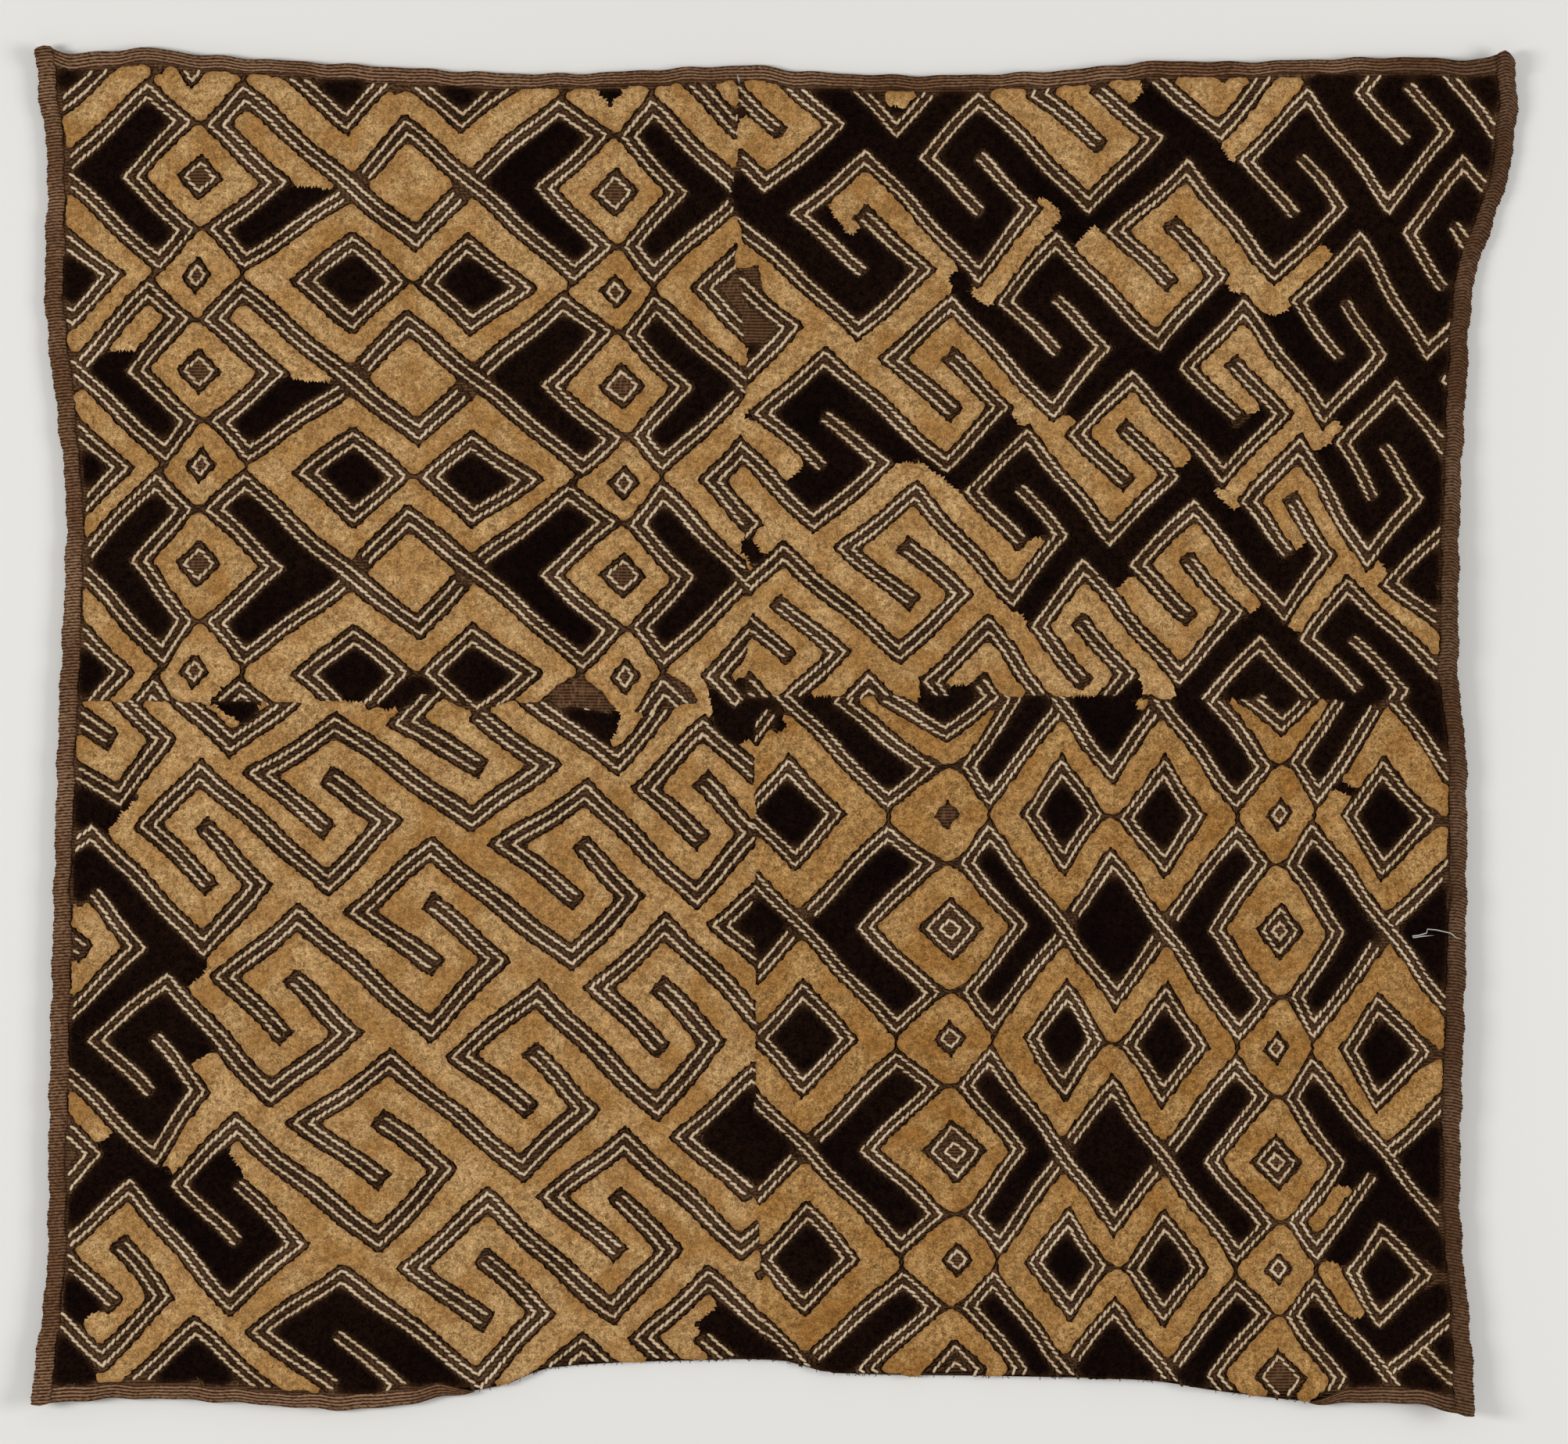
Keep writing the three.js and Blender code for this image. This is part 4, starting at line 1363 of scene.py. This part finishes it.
def stitched_rows(where, quarter):
    """A quarter's rows: one piece of undyed stitches and one of brown stitches."""
    cream = stitches(stitch_rows(quarter, True), CREAM_PITCH, quarter)
    brown = stitches(stitch_rows(quarter, False), BROWN_PITCH, quarter)
    cream_shapes = stitch_shapes(*cream, width=CREAM_WIDTH * quarter.cream, **CREAM_STITCH)
    brown_shapes = stitch_shapes(*brown, width=quarter.edge + BROWN_OVERLAP, **BROWN_STITCH)
    return [
        add_piece(f"cream_rows_{where}", *cream_shapes, CREAM_ROWS),
        add_piece(f"brown_rows_{where}", *brown_shapes, BROWN_ROWS),
    ]


def pile_at(quarter, xy):
    """Whether tan pile and whether black pile stands at points of a quarter: clear of its bands,
    links and bare spots. Black pile crowds closer to a band than tan pile does."""
    dark = pile_colours(quarter, xy)
    off_tan, off_black = np.zeros(len(xy), bool), np.zeros(len(xy), bool)
    gaps = ((off_tan, quarter.tan_gap, TAN_REACH), (off_black, quarter.black_gap, BLACK_REACH))
    for line, closed in quarter.bands:
        for off, gap, reach in gaps:
            off |= under_band(xy, line if closed else lengthened(line, reach), closed, gap)
    for link in quarter.links:
        off_tan |= under_band(xy, link, False, LINK_HALF)
    for corners in quarter.bare + quarter.plain:
        spot = inside(xy, corners)
        off_tan |= spot
        off_black |= spot
    return ~dark & ~off_tan, dark & ~off_black


# The woven panel, then the rows and the pile of each quarter
QUARTERS = {
    "upper_left": upper_left, "upper_right": upper_right,
    "lower_left": lower_left, "lower_right": lower_right,
}
ground = woven_ground()
hems = turned_hems()
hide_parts("raffia_panel")
parts = [hems, loose_threads(), frayed_fibres()]

grid, triangles = pile_grid()
shape = grid.shape[:2]
spots = grid.reshape(-1, 2)
fielded = in_field(spots, PILE_MARGIN)
tan, black = np.zeros(len(spots)), np.zeros(len(spots))
quarter_of = np.full(len(spots), -1)
for number, (where, quarter) in enumerate(QUARTERS.items()):
    parts += stitched_rows(where, quarter)
    own = np.flatnonzero(fielded & quarter.holds(spots))
    quarter_of[own] = number
    tan[own], black[own] = pile_at(quarter, spots[own] - waver(spots[own]))

# Lone points of the grid are smoothed away, and the pile is lower and steadier at its rims
tan_share, black_share = (spread_out(pile.reshape(shape), 1).ravel() for pile in (tan, black))
is_black = (black_share > 0.5) & fielded
is_tan = (tan_share > 0.5) & fielded & ~is_black
is_piled = is_tan | is_black
covered = is_piled.reshape(shape).astype(float)
share = spread_out(covered, RIM_SPREAD).ravel()
on_rim = (spread_out(covered, 1).ravel() < ALL_PILE)[:, None]
tall = PILE_TOP + draw.normal(0, PILE_UNEVEN, len(spots)) - RIM_DROP * (1 - share) ** RIM_CURVE
nudge = draw.uniform(-PILE_SHIFT, PILE_SHIFT, spots.shape)
outline = to_outline((tan_share + black_share).reshape(shape)).reshape(-1, 2)
nudge = np.where(on_rim, RIM_SHIFT * nudge + outline, nudge)
pile_points = np.column_stack((spots + nudge, tall + lift_at(spots)))
piled = is_piled[triangles].all(axis=1)
mostly_black = is_black[triangles].sum(axis=1) >= 2
whose = quarter_of[triangles].max(axis=1)
for number, where in enumerate(QUARTERS):
    own = piled & (whose == number)
    tan_finish = DEEP_TAN_PILE if where == "lower_right" else TAN_PILE
    piles = (("tan", own & ~mostly_black, tan_finish), ("black", own & mostly_black, BLACK_PILE))
    for colour, picked, finish in piles:
        name = f"{colour}_pile_{where}"
        # 1 - share is the rim mark: the materials paint it as shade with brown fuzz on tan pile and as brown
        # fuzz on black pile
        parts.append(pile_block(name, pile_points, triangles[picked], 1 - share, finish))

# Camera straight above, floor and lights, in metres
IMAGE = (2006, 1848)  # size of the picture, in chart units
HEIGHT = 2.4  # of the camera, over the surface that the panel lies on
SENSOR = 36.0  # width of its sensor, in millimetres
FLOOR_HALF = 3.0  # half the floor's side
FLOOR_DROP = 0.0004  # gap between the floor and the panel
ROOM_LIGHT = 0.415  # strength of the even light from all round
camera = add_object("camera", bpy.data.cameras.new("camera"))
camera.data.sensor_width = SENSOR
camera.data.lens = SENSOR * HEIGHT / (IMAGE[0] * CHART * MM)
middle = from_chart([(IMAGE[0] / 2, IMAGE[1] / 2)])[0] * MM
camera.location = (middle[0], middle[1], HEIGHT)
bpy.context.scene.camera = camera

floor_mesh = bpy.data.meshes.new("floor")
corners = ((-1, -1), (1, -1), (1, 1), (-1, 1))
floor_points = [(x * FLOOR_HALF, y * FLOOR_HALF, -FLOOR_DROP) for x, y in corners]
floor_mesh.from_pydata(floor_points, [], [(0, 1, 2, 3)])
floor = add_object("floor", floor_mesh)
floor_finish = Finish("floor_paper", 0.9)
paper = floor_finish.mix(floor_finish.noise(2.0), (0.735, 0.725, 0.70), (0.765, 0.755, 0.73))
floor_finish.paint(paper)
floor_mesh.materials.append(floor_finish.material)


def soft_light(name, place, size, power):
    """An area light that faces the panel's middle."""
    light = add_object(name, bpy.data.lights.new(name, "AREA"))
    light.data.shape = "RECTANGLE"
    light.data.size, light.data.size_y = size
    light.data.energy = power
    light.location = place
    light.rotation_euler = (-light.location).to_track_quat("-Z", "Y").to_euler()


soft_light("left_light", (-1.4, 0.0, 1.5), (0.4, 0.9), 20.0)
soft_light("right_light", (1.6, 0.0, 1.3), (0.9, 0.9), 20.0)
world = bpy.context.scene.world or bpy.data.worlds.new("room")
bpy.context.scene.world = world
world.use_nodes = True
background = world.node_tree.nodes["Background"]
background.inputs["Color"].default_value = (1.0, 0.99, 0.97, 1.0)
background.inputs["Strength"].default_value = ROOM_LIGHT
bpy.context.scene.view_settings.view_transform = "Standard"
